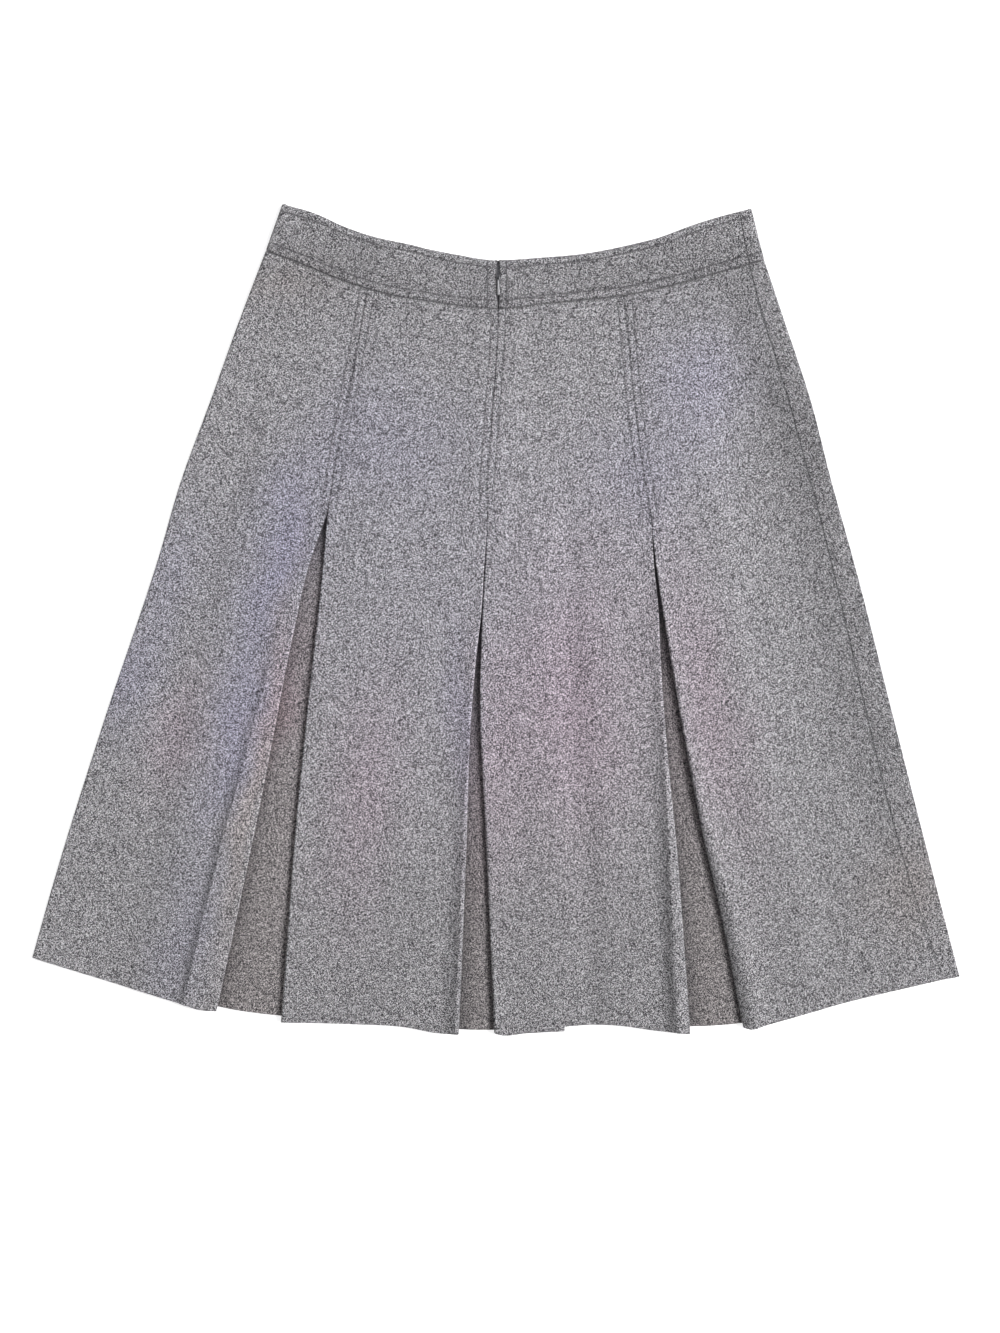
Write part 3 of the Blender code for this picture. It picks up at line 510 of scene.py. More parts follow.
def mesh_object(
    name: str,
    points: Array,
    quads: Array,
    weave: Array | None = None,
    shade: Array | None = None,
) -> bpy.types.Object:
    """Makes a smooth-shaded object from points in millimetres and quads.

    Args:
        name: the piece's name.
        points: the vertices, one row each.
        quads: four vertex numbers a face.
        weave: the weave's coordinates at each vertex, in metres.
        shade: the painted shade and painted highlight at each vertex.

    Returns:
        The new object, linked to the scene.
    """
    mesh = bpy.data.meshes.new(name)
    mesh.vertices.add(len(points))
    mesh.vertices.foreach_set("co", (points * MM).astype(np.float32).ravel())
    mesh.loops.add(quads.size)
    mesh.loops.foreach_set("vertex_index", quads.astype(np.int32).ravel())
    mesh.polygons.add(len(quads))
    mesh.polygons.foreach_set("loop_start", np.arange(0, quads.size, 4, dtype=np.int32))
    mesh.polygons.foreach_set("use_smooth", np.ones(len(quads), bool))
    mesh.update(calc_edges=True)
    if weave is not None:
        layer = mesh.uv_layers.new(name="weave")
        layer.uv.foreach_set("vector", weave[quads.ravel()].astype(np.float32).ravel())
    if shade is not None:
        attribute = mesh.attributes.new("painted_shade", "FLOAT", "POINT")
        attribute.data.foreach_set("value", shade.astype(np.float32))
    made = bpy.data.objects.new(name, mesh)
    bpy.context.scene.collection.objects.link(made)
    return made


def tube_walls(index: Array) -> Array:
    """The quads between the rings of tubes, from their vertices' numbers as (..., rings, sides)."""
    after = np.roll(index, -1, axis=-1)
    corners = (index[..., :-1, :], index[..., 1:, :], after[..., 1:, :], after[..., :-1, :])
    return np.stack(corners, axis=-1).reshape(-1, 4)


def circle(sides: int) -> Array:
    """Even angles round a circle."""
    return np.linspace(0.0, 2 * np.pi, sides + 1)[:-1]


AT_WAIST = np.zeros((1, 1))
AT_HEM = np.ones((1, 1))
WAIST_GAP = 0.05
EDGE_ROWS = (0.0, 0.25, 0.6, 1.1, 1.8, 2.8, 4.4, 7.0)
PANEL_LENGTH = 625.0
FRONT_LENGTH = 640.0
UNDERLAY_LENGTH = 620.0
ROW_STEP = 4.5
FRONT_ROW_STEP = 6.0
UNDERLAY_ROW_STEP = 5.5
FILL_STEP = 3.6
# Distances of a run's columns from where it starts: at a pleat, at a plain fold and at a seam.
SEAM_COLUMNS = (
    0.25, 0.6, 1.0, 1.6, 2.4, 3.4, 4.2, 4.65, 4.95, 5.2, 5.4, 5.6, 5.85, 6.15, 6.6, 7.4, 8.6, 10.4, 13.0,
)
WRAP_COLUMNS = (2.0, 5.0, 9.0, 14.0)
SIDE_SEAM_COLUMNS = (0.25, 0.55, 0.9, 1.4, 2.2, 4.0, 7.5, 12.0)
FLAP_COLUMNS = (0.0, 0.25, 0.55, 0.9, 1.4, 2.2, 4.0)

# Pressed seams: each presses the cloth in and has painted shade in it, partly the seam's own dark line.
WAIST_PRESS = Press(0.5, 1.1, 1.0, 0.9)
SIDE_PRESS = Press(0.35, 0.7, 0.5, 0.8)
FLAP_PRESS = Press(0.35, 0.7, 0.5, 0.6)


def y_down(
    hem: SmoothLine, x_top: Array, x_low: Array, v: Array, rise: Array | float = 0.0,
) -> Array:
    """The y at a station of the straight line from the waist seam to a hem.

    Args:
        hem: the hem's line.
        x_top: where the line starts on the waist seam.
        x_low: where it ends on the hem.
        v: the stations.
        rise: how far above the hem it ends.

    Returns:
        The y.
    """
    top = WAIST_SEAM.y_at(x_top) - WAIST_GAP
    return top + (hem.y_at(x_low) + rise - top) * v


def station_rows(length: float, step: float) -> Array:
    """The stations of a piece: close together at the waist seam and the hem, even between.

    Args:
        length: the piece's length.
        step: the even rows' distance.

    Returns:
        The stations from 0 to 1, as a column.
    """
    near = np.array(EDGE_ROWS)
    count = int((length - 2 * near[-1]) / step)
    middle = np.linspace(near[-1], length - near[-1], count + 1)[1:-1]
    return (np.concatenate([near, middle, length - near[::-1]]) / length)[:, None]


@dataclass(frozen=True)
class TopStitch:
    """A line of topstitching beside a seam: its distance from it, and where its end runs into the seam.

    The thread pulls a narrow groove into a wide trough, a low strip stands up between it and the seam, and
    the seam itself is pressed in. The groove and the seam get painted shade, partly the seam's own dark line,
    and edge is the painted shade down the seam's own edge.
    """

    distance: float = 6.2
    end: float = 0.307
    end_length: float = 0.013
    fade: float = 0.004
    thread: Press = Press(0.34, 0.42, 0.7, 0.65)
    trough: Press = Press(0.2, 2.2)
    strip: Press = Press(-0.12, 1.6)
    strip_at: float = 3.8
    strip_fade: float = 0.03
    seam: Press = Press(0.3, 1.7, 0.15, 0.6)
    edge: Press = Press(0.0, 1.0, 0.6, 1.0)

    def distance_at(self, v: Array) -> Array:
        """The line's distance from the seam at a station, falling evenly to 0 at its end."""
        return self.distance * np.clip((self.end - v) / self.end_length, 0.0, 1.0)

    def sewn(self, v: Array) -> Array:
        """1 down to the end of the stitching, and 0 below it."""
        return 1.0 - smoothstep((v - self.end) / self.fade)

    def relief(self, from_seam: Array, v: Array) -> Array:
        """What the sewing does to the cloth's height.

        Args:
            from_seam: the distance from the seam.
            v: the stations.

        Returns:
            The change in height.
        """
        from_line = from_seam - self.distance_at(v)
        strip = self.strip.relief(from_seam - self.strip_at) * smoothstep((self.end - v) / self.strip_fade)
        pressed = self.trough.relief(from_line) + strip + self.seam.relief(from_seam)
        return pressed * self.sewn(v) + self.thread.relief(from_line) * (v < self.end)

    def shading(self, from_seam: Array, v: Array) -> Array:
        """The painted shade: a line in the groove under the thread, and a fainter one in the seam."""
        line = self.thread.shading(from_seam - self.distance_at(v)) * (v < self.end)
        return np.maximum(line, self.seam.shading(from_seam) * self.sewn(v))


def repeated(marks: tuple[float, ...], v: Array) -> Array:
    """The same marks at every station, as (stations, marks)."""
    return np.broadcast_to(np.array(marks)[None, :], (len(v), len(marks)))


class PanelEnd:
    """How a back panel ends at one side. The section runs from its inner edge to the top run."""

    fold: Fold | None
    stitch: TopStitch | None
    side: Side

    def x(self, v: Array) -> Array:
        """The x of the panel's edge at a station."""
        raise NotImplementedError

    def ends(self) -> tuple[Array, Array]:
        """The x of the panel's edge at the waist seam and at the hem."""
        return self.x(AT_WAIST), self.x(AT_HEM)

    def section(self, hem: SmoothLine, v: Array) -> Array:
        """The section's points from the inner edge to the end of the turn, as (stations, points, 3)."""
        raise NotImplementedError

    def columns(self, v: Array) -> Array:
        """Distances of the top run's columns from where it starts, as (stations, columns)."""
        raise NotImplementedError


def turn(
    edge_x: Array, low: Array, high: Array, half: float, side: Side,
    flat: Array | float = 1.0, steps: int = 8,
) -> tuple[Array, Array]:
    """The middle line of a fold: half an ellipse from its low layer up to its high one.

    Args:
        edge_x: the x of the fold's outer face at each station.
        low: the height of the low layer's middle.
        high: the height of the high layer's middle.
        half: half the cloth's thickness.
        side: the side that the fold is on.
        flat: how wide the ellipse is for its height, 1 being a circle.
        steps: the steps of the arc.

    Returns:
        x and z of the points, each as (stations, points).
    """
    angle = np.linspace(-np.pi / 2, np.pi / 2, steps + 1)[None, :]
    radius = (high - low) / 2
    centre = edge_x - side.value * (radius * flat + half)
    return centre + side.value * radius * flat * np.cos(angle), (low + high) / 2 + radius * np.sin(angle)


@dataclass
class PleatEnd(PanelEnd):
    """A panel's edge at a pleat: a turn, and the return that runs back under the panel."""

    fold: Fold
    side: Side
    hem: SmoothLine
    seam_overlap: float = 0.04
    flat: float = 0.3
    flat_below: float = 0.12
    flat_over: float = 0.12
    past_ridge: float = 12.0
    stitch: TopStitch = TopStitch()

    def x(self, v: Array) -> Array:
        """The x of the fold, with the seam's two edges pressed together above the release.

        Args:
            v: the stations.

        Returns:
            The x at each.
        """
        pleat, side = self.fold.pleat, self.fold.side
        line = pleat.left_fold if side is Side.LEFT else pleat.right_fold
        top, bottom = WAIST_SEAM.y_at(pleat.seam.points[0][0]), self.hem.y_at(line.points[-1][0])
        closed = 1.0 - smoothstep((v - CLOTH.release) / CLOTH.opens_over)
        return pleat.edge_x(side, top + (bottom - top) * v) + self.side.value * self.seam_overlap * closed

    def section(self, hem: SmoothLine, v: Array) -> Array:
        """The return's points from its inner edge, and the turn, which is flatter above the release.

        Args:
            hem: the panel's hem.
            v: the stations.

        Returns:
            The points, as (stations, points, 3).
        """
        fold, cloth, way = self.fold, CLOTH, self.side.value
        edge_x, (edge_top, edge_low) = self.x(v), self.ends()
        edge_y = y_down(hem, edge_top, edge_low, v)
        rise = cloth.zip_lift(edge_x, edge_y, v)
        lift = fold.edge_lift(v)
        low = cloth.layer_middle(2) + cloth.return_share * lift + rise
        high = cloth.layer_middle(3) + lift + rise
        flat = self.flat + self.flat_below * smoothstep((v - cloth.release) / self.flat_over)
        arc_x, arc_z = turn(edge_x, low, high, cloth.thickness / 2, self.side, flat)
        marks = np.linspace(1.0, 0.12, 9)[None, :]
        depth = cloth.return_depth(v)
        x = edge_x - way * depth * marks
        top_x = edge_top - way * cloth.return_at_waist * marks
        low_x = edge_low - way * cloth.return_at_hem * marks
        y = y_down(hem, top_x, low_x, v, fold.hem_rise * marks)
        z = cloth.layer_middle(2) + cloth.return_share * lift * bell(depth * marks, cloth.return_reach)
        run = np.stack([x, y, z + cloth.zip_lift(x, y, v)], axis=-1)
        arc = np.stack([arc_x, np.broadcast_to(edge_y, arc_x.shape), arc_z], axis=-1)
        return np.concatenate([run, arc], axis=1)

    def columns(self, v: Array) -> Array:
        """Close columns over the seam's edge and its stitching, and even ones past them over the ridge.

        Args:
            v: the stations.

        Returns:
            Their distances from the edge, as (stations, columns).
        """
        near, last = repeated(SEAM_COLUMNS, v), SEAM_COLUMNS[-1]
        span = np.maximum(self.fold.roll_at(v), last) + self.past_ridge - last
        marks = np.linspace(0.0, 1.0, 9 + int(self.fold.roll))[None, 1:]
        return np.concatenate([near, last + span * marks], axis=1)


@dataclass
class WrapEnd(PanelEnd):
    """The back-left panel's edge at the left side fold: a turn, and a flap that lies under the skirt."""

    flap: float = 20.0
    side: Side = Side.LEFT
    fold: Fold | None = None
    stitch: TopStitch | None = None

    def x(self, v: Array) -> Array:
        """The x of the side fold at a station."""
        return SIDE_FOLD_LEFT.x_down(v)

    def section(self, hem: SmoothLine, v: Array) -> Array:
        """The flap's points from its inner edge, and the turn.

        Args:
            hem: the panel's hem.
            v: the stations.

        Returns:
            The points, as (stations, points, 3).
        """
        half, edge_x = CLOTH.thickness / 2, self.x(v)
        arc_x, arc_z = turn(edge_x, np.full_like(v, half), CLOTH.resting_middle(v), half, self.side)
        inward = self.flap * np.linspace(1.0, 0.25, 5)[None, :]
        y = y_down(hem, *(x + inward for x in self.ends()), v)
        run = np.stack([edge_x + inward, y, np.full_like(y, half)], axis=-1)
        arc_y = np.broadcast_to(y_down(hem, *self.ends(), v), arc_x.shape)
        return np.concatenate([run, np.stack([arc_x, arc_y, arc_z], axis=-1)], axis=1)

    def columns(self, v: Array) -> Array:
        """Even columns: nothing is sewn here."""
        return repeated(WRAP_COLUMNS, v)


@dataclass
class SeamEnd(PanelEnd):
    """The back-right panel's raw end at the side seam, where it meets the front's flap."""

    side: Side = Side.RIGHT
    gap: float = 0.06
    fold: Fold | None = None
    stitch: TopStitch | None = None

    def x(self, v: Array) -> Array:
        """The x of the panel's edge at a station."""
        return SIDE_SEAM.x_down(v) - self.gap

    def section(self, hem: SmoothLine, v: Array) -> Array:
        """The section's last point, pressed into the seam."""
        z = CLOTH.resting_middle(v) - SIDE_PRESS.depth
        return np.stack([self.x(v), y_down(hem, *self.ends(), v), z], axis=-1)

    def columns(self, v: Array) -> Array:
        """Close columns over the pressed seam."""
        return repeated(SIDE_SEAM_COLUMNS, v)


@dataclass
class Panel:
    """A back panel: its two ends and the top run between them, with the creases laid on it."""

    name: str
    hem: SmoothLine
    left: PanelEnd
    right: PanelEnd
    hem_allowance: float = 74.0
    hem_lift: float = 0.22
    hem_fade: float = 5.0
    hem_ridge: Press = Press(-0.10, 3.0)
    soft_from_side: float = 20.0
    soft_from_waist: float = 0.05

    def height(self, x: Array, y: Array, v: Array) -> Array:
        """The height of the top run: the layers below it, the folds' rolls, and the creases.

        It stands on the returns up to their inner edges, and comes down on an S past them.

        Args:
            x: the places across the skirt.
            y: the places along it.
            v: their stations.

        Returns:
            The height of the cloth's middle.
        """
        cloth = CLOTH
        base = cloth.resting_middle(v)
        share, lift = np.zeros_like(x), np.zeros_like(x)
        from_side = np.full_like(x, self.soft_from_side)
        for end in (self.left, self.right):
            distance = np.abs(x - end.x(v))
            if end.fold is None:
                from_side = np.minimum(from_side, distance)
                continue
            past_return = distance - cloth.return_depth(v) - cloth.step_start
            share = share + 1.0 - smoothstep(past_return / cloth.step_width)
            lift = lift + end.fold.height(distance, v)
        height = base + (cloth.layer_middle(3) - base) * np.minimum(share, 1.0) + lift
        soft = RIPPLE.height(x, y) + sum(crease.height(x, y) for crease in CREASES)
        soft = soft * from_side / self.soft_from_side * smoothstep(v / self.soft_from_waist)
        return height + soft + cloth.zip_lift(x, y, v)

    def detail(self, x: Array, v: Array, length: Array) -> tuple[Array, Array]:
        """What sewing does to the top run.

        Args:
            x: the top run's x.
            v: its stations.
            length: the panel's length along each column.

        Returns:
            The change in height, and the painted shade.
        """
        change, shade = np.zeros_like(x), np.zeros_like(x)
        for end in (self.left, self.right):
            distance = np.abs(x - end.x(v))
            if end.stitch is not None:
                change = change + end.stitch.relief(distance, v)
                shade = np.maximum(shade, end.stitch.shading(distance, v))
            elif end.side is Side.RIGHT:
                change = change + SIDE_PRESS.relief(distance)
                shade = np.maximum(shade, SIDE_PRESS.shading(distance))
        from_waist, above_allowance = v * length, (1.0 - v) * length - self.hem_allowance
        change = change + WAIST_PRESS.relief(from_waist) + self.hem_ridge.relief(above_allowance)
        change = change + self.hem_lift * smoothstep(-above_allowance / self.hem_fade)
        return change, np.maximum(shade, WAIST_PRESS.shading(from_waist))

    def surface(self, x: Array, v: Array) -> tuple[Array, Array]:
        """The top run's middle surface.

        Args:
            x: the x of its points, as (stations, columns).
            v: the stations.

        Returns:
            The points, and the painted shade at each.
        """
        v = v + 0 * x
        mark = (x - self.left.x(v)) / (self.right.x(v) - self.left.x(v))
        top_x, low_x = (a + (b - a) * mark for a, b in zip(self.left.ends(), self.right.ends()))
        y = y_down(self.hem, top_x, low_x, v)
        change, shade = self.detail(x, v, WAIST_SEAM.y_at(top_x) - self.hem.y_at(low_x))
        return np.stack([x, y, self.height(x, y, v) + change], axis=-1), shade

    def grid(self) -> ClothGrid:
        """Works out the panel's sheet.

        Returns:
            Its middle surface, its weave and its painted shade.
        """
        v = station_rows(PANEL_LENGTH, ROW_STEP)
        left, right = self.left.section(self.hem, v), self.right.section(self.hem, v)[:, ::-1]
        start, stop = left[:, -1:, 0], right[:, :1, 0]
        first, last = start + self.left.columns(v), stop - self.right.columns(v)[:, ::-1]
        count = int(np.max(last[:, 0] - first[:, -1]) / FILL_STEP)
        fill = np.linspace(0.0, 1.0, count + 1)[None, 1:-1]
        x = np.concatenate([first, first[:, -1:] + (last[:, :1] - first[:, -1:]) * fill, last], axis=1)
        run, shade = self.surface(x, v)
        middle = np.concatenate([left, run, right], axis=1)
        sides = [self.side_shade(end, v, points) for end, points in ((self.left, left), (self.right, right))]
        shades = np.concatenate([sides[0], shade, sides[1]], axis=1)
        return ClothGrid(middle, CLOTH.thickness, weave_of(middle, left.shape[1] + x.shape[1] // 2), shades)

    def side_shade(self, end: PanelEnd, v: Array, points: Array) -> Array:
        """The painted shade of one end's section: dark in the pressed seam, down to the end of its stitching.

        Args:
            end: the panel's end.
            v: the stations.
            points: the section's points.

        Returns:
            The shade at each point.
        """
        shade = np.zeros(points.shape[:2]) + WAIST_PRESS.shading(v * PANEL_LENGTH)
        if end.stitch is None:
            return shade
        return np.maximum(shade, end.stitch.edge.shading(points[..., 0] - end.x(v)) * end.stitch.sewn(v))

    def stitch_paths(self) -> list[Array]:
        """Points on the outer surface along each line of topstitching, from the waist seam down."""
        paths = []
        for end in (self.left, self.right):
            if end.stitch is None:
                continue
            v = np.linspace(0.0015, end.stitch.end - 0.001, 240)[:, None]
            x = end.x(v) - end.side.value * end.stitch.distance_at(v)
            points, _ = self.surface(x, v)
            paths.append(points[:, 0] + np.array((0.0, 0.0, CLOTH.thickness / 2)))
        return paths


def weave_of(middle: Array, centre: int) -> Array:
    """The weave's coordinates: the way along each section from one column, and down that column.

    Args:
        middle: the cloth's middle surface.
        centre: the column that the weave runs straight along.

    Returns:
        The coordinates in metres, as (stations, columns, 2).
    """
    steps = np.linalg.norm(np.diff(middle, axis=1), axis=2)
    over = np.hstack([np.zeros((len(middle), 1)), np.cumsum(steps, axis=1)])
    over = over - over[:, centre : centre + 1]
    down = np.linalg.norm(np.diff(middle[:, centre], axis=0), axis=1)
    down = -np.concatenate([[0.0], np.cumsum(down)])[:, None]
    return np.stack([over, np.broadcast_to(down, over.shape)], axis=-1) * MM


@dataclass
class FrontPanel:
    """The front: its flap on top at the right, the turn, and the long run on the surface."""

    name: str = "front_panel"
    inset: float = 4.5
    swell: float = 0.075
    swell_slope: float = 30.0
    swell_waves: Point = (31.0, 57.0)

    def grid(self) -> ClothGrid:
        """Works out the front's sheet, whose run swells a little inside its edges, on a sine each way.

        Returns:
            Its middle surface, its weave and its painted shade.
        """
        v = station_rows(FRONT_LENGTH, FRONT_ROW_STEP)
        fold, seam, wrap, half = SIDE_FOLD_RIGHT.x_down, SeamEnd(), WrapEnd(), CLOTH.thickness / 2
        resting = CLOTH.resting_middle(v)
        arc_x, arc_z = turn(fold(v), np.full_like(v, half), resting, half, Side.RIGHT, steps=10)
        arc_x, arc_z = arc_x[:, ::-1], arc_z[:, ::-1]
        first = seam.x(v) + 2 * seam.gap + np.array(FLAP_COLUMNS)[None, :]
        far = np.linspace(0.0, 1.0, 5)[None, 1:-1]
        x = np.concatenate([first, first[:, -1:] + (arc_x[:, :1] - first[:, -1:]) * far], axis=1)
        distance = x - seam.x(v)
        mark = distance / (fold(v) - seam.x(v))
        top_x, low_x = (a + (fold(s) - a) * mark for a, s in zip(seam.ends(), (AT_WAIST, AT_HEM)))
        top_y = y_down(HEM_SIDE_FLAP, top_x, low_x, v)
        top = np.stack([x, top_y, resting + FLAP_PRESS.relief(distance)], axis=-1)
        arc_y = np.broadcast_to(y_down(HEM_FRONT, fold(AT_WAIST), fold(AT_HEM), v), arc_x.shape)
        arc = np.stack([arc_x, arc_y, arc_z], axis=-1)
        marks = np.linspace(0.0, 1.0, 90)[None, :]
        ends = [(fold(s) - self.inset, wrap.x(s) + wrap.flap + 2 * seam.gap) for s in (AT_WAIST, AT_HEM, v)]
        run_top, run_low, run_x = (a + (b - a) * marks for a, b in ends)
        run_y = y_down(HEM_FRONT, run_top, run_low, v)
        inward = np.minimum(run_x - ends[2][1], ends[2][0] - run_x)
        wave = 1.0 + np.sin(run_x / self.swell_waves[0] + run_y / self.swell_waves[1])
        swell = self.swell * smoothstep(inward / self.swell_slope) * wave
        run = np.stack([run_x, run_y, half + swell], axis=-1)
        middle = np.concatenate([top, arc, run], axis=1)
        shade = np.zeros(middle.shape[:2]) + WAIST_PRESS.shading(v * FRONT_LENGTH)
        shade[:, : x.shape[1]] = np.maximum(shade[:, : x.shape[1]], FLAP_PRESS.shading(distance))
        return ClothGrid(middle, CLOTH.thickness, weave_of(middle, middle.shape[1] - 45), shade)


def narrowness(width: Array, whole: float, over: float) -> Array:
    """1 where an opening is no wider than whole, falling on an S to 0 over a further width."""
    return 1.0 - smoothstep((width - whole) / over)


@dataclass
class Underlay:
    """A pleat's insert, which lies between the inner edges of its two returns.

    shadow is its painted shadow beside the right fold, and left_shadow that beside the left one. right_fall
    and left_fall say over what distance each fades, and how much shorter that is where the opening is narrow.
    slit, deep and narrow are opening widths: whole up to the first, and gone the second one further.
    slit_shade and deep_shade are the painted shade in a slit and in a deep, narrow opening.
    """

    name: str
    hem: SmoothLine
    left: PleatEnd
    right: PleatEnd
    shadow: float
    left_shadow: float = 0.95
    billow: float = 1.3
    billow_slope: float = 12.0
    billow_width: float = 30.0
    wave: float = 0.15
    wave_slope: float = 10.0
    waves: Point = (17.0, 60.0)
    slit: Point = (1.0, 13.0)
    deep: Point = (8.0, 28.0)
    narrow: Point = (4.0, 22.0)
    slit_shade: float = 1.05
    deep_shade: float = 0.35
    right_fall: Point = (4.5, 1.5)
    left_fall: Point = (6.5, 2.5)
    opening_share: float = 0.7

    def grid(self) -> ClothGrid:
        """Works out the underlay's sheet.

        It lies flat under the returns and rises on an S from both folds into the opening, with a low wave.

        Returns:
            Its middle surface, its weave and its painted shadow.
        """
        v = station_rows(UNDERLAY_LENGTH, UNDERLAY_ROW_STEP)
        marks = np.linspace(0.0, 1.0, 81)[None, :]
        depths = ((s, CLOTH.return_depth(s)) for s in (AT_WAIST, AT_HEM, v))
        ends = ((self.left.x(s) - depth, self.right.x(s) + depth) for s, depth in depths)
        top_x, low_x, x = (a + (b - a) * marks for a, b in ends)
        y = y_down(self.hem, top_x, low_x, v)
        from_left, from_right = x - self.left.x(v), self.right.x(v) - x
        inward = np.minimum(from_left, from_right)
        billow = self.billow * CLOTH.opening(v) * smoothstep((from_left + from_right) / self.billow_width)
        wave = self.wave * np.sin(x / self.waves[0] + y / self.waves[1])
        wave = wave * smoothstep(inward / self.wave_slope)
        z = CLOTH.layer_middle(1) + billow * smoothstep(inward / self.billow_slope) + wave
        middle = np.stack([x, y, z], axis=-1)
        return ClothGrid(middle, CLOTH.thickness, weave_of(middle, 40), self.shading(from_left, from_right))

    def shading(self, from_left: Array, from_right: Array) -> Array:
        """The painted shadow: dark in a slit, and falling off exponentially from both folds.

        Args:
            from_left: the distance from the left fold.
            from_right: the distance from the right fold.

        Returns:
            The painted shadow, from 0 to 1.
        """
        width = from_left + from_right
        slit, narrow = narrowness(width, *self.slit), narrowness(width, *self.narrow)
        deep = self.slit_shade * slit + self.deep_shade * narrowness(width, *self.deep)
        sides = (
            (self.left_shadow, from_left, self.left_fall),
            (self.shadow, from_right, self.right_fall),
        )
        beside = sum(
            shadow * np.exp(-np.maximum(distance, 0.0) / (fall - shorter * narrow))
            for shadow, distance, (fall, shorter) in sides
        )
        return np.clip(np.maximum(slit, self.opening_share * np.maximum(deep, beside)), 0.0, 1.0)


@dataclass(frozen=True)
class BandShape:
    """The waistband's sizes, and its lines of topstitching, pressed edges and puffed strips.
    The lines and edges carry painted shade, and the puffed strips painted highlight.

    Their places are distances from the band's own edges and, for the end lines, from the zip's.
    """

    slider_x: float = 1.8
    slot: float = 1.9
    back_floor: float = 4.0
    zip_rise: float = 0.7
    peek: float = 1.3
    peek_span: Point = (-72.0, 2.0)
    peek_fades: Point = (25.0, 8.0)
    top_stitch: float = 6.0
    low_stitch: float = 6.8
    end_stitch_left: float = 8.2
    end_stitch_right: float = 6.2
    upper: Press = Press(0.45, 0.9, 0.85, 0.9)
    lower: Press = Press(0.45, 0.9, 0.95, 0.9)
    low_edge: Press = Press(0.8, 0.9, 1.0, 1.2)
    # A puffed strip's shade below 0 is painted highlight.
    low_strip: Press = Press(-0.5, 2.3, -0.55, 1.6)
    low_strip_at: float = 3.6
    top_strip: Press = Press(-0.3, 2.0, -0.3, 1.6)
    top_strip_at: float = 3.0
    end_line: Press = Press(0.25, 0.7, 0.95, 0.7)
    zip_edge: Press = Press(0.5, 1.2, 1.0, 0.9)
    side_seam: Point = (206.0, 214.5)
    side_press: Press = Press(0.5, 0.7, 0.5, 0.7)
    flap: float = 20.0
    # The slot's two edges close to this half width below a station, over a further share of the band.
    closed_half: float = 0.2
    closes_at: float = 0.78
    closes_over: float = 0.12
    closes_within: float = 3.0
    ripple_share: float = 0.3
    wave: float = 0.2
    wave_length: float = 23.0
    # How unevenly the thread pulls, and the lengths of its two waves.
    pull: float = 0.35
    pull_waves: Point = (1.9, 7.3)

    def back_middle(self, x: Array) -> Array:
        """The height of the middle of the back waistband, raised over the zip."""
        near = narrowness(np.abs(x - self.slider_x), CLOTH.zip_flat, CLOTH.zip_fade - CLOTH.zip_flat)
        return self.back_floor + CLOTH.band_thickness / 2 + self.zip_rise * near

    def peek_at(self, x: Array) -> Array:
        """How far the back waistband's top edge lies below the front's."""
        (low, high), (low_fade, high_fade) = self.peek_span, self.peek_fades
        return self.peek * smoothstep((x - low) / low_fade) * smoothstep((high - x) / high_fade)


BAND = BandShape()
BAND_HEIGHT = 42.0
BAND_ROWS = (0.0, 0.3, 0.7, 1.2, 2.0, 3.2, 4.4, 5.1, 5.6, 6.0, 6.4, 6.9, 7.6, 9.0)
BAND_LOW_ROWS = (0.0, 0.25, 0.55, 0.9, 1.4, 2.2, 3.4, 4.6, 5.4, 5.9, 6.3, 6.7, 7.1, 7.6, 8.2, 9.2, 11.0)
ZIP_COLUMNS = (0.0, 0.3, 0.7, 1.2, 2.0, 3.4, 5.0, 5.7, 6.2, 6.7, 7.2, 7.8, 8.2, 8.7, 9.4, 11.0, 13.5)
BAND_SEAM_COLUMNS = (0.0, 0.3, 0.7, 1.2, 2.0, 3.5, 6.0)
BAND_FLAP_COLUMNS = (0.1, 0.4, 0.8, 1.3, 2.2, 4.0)


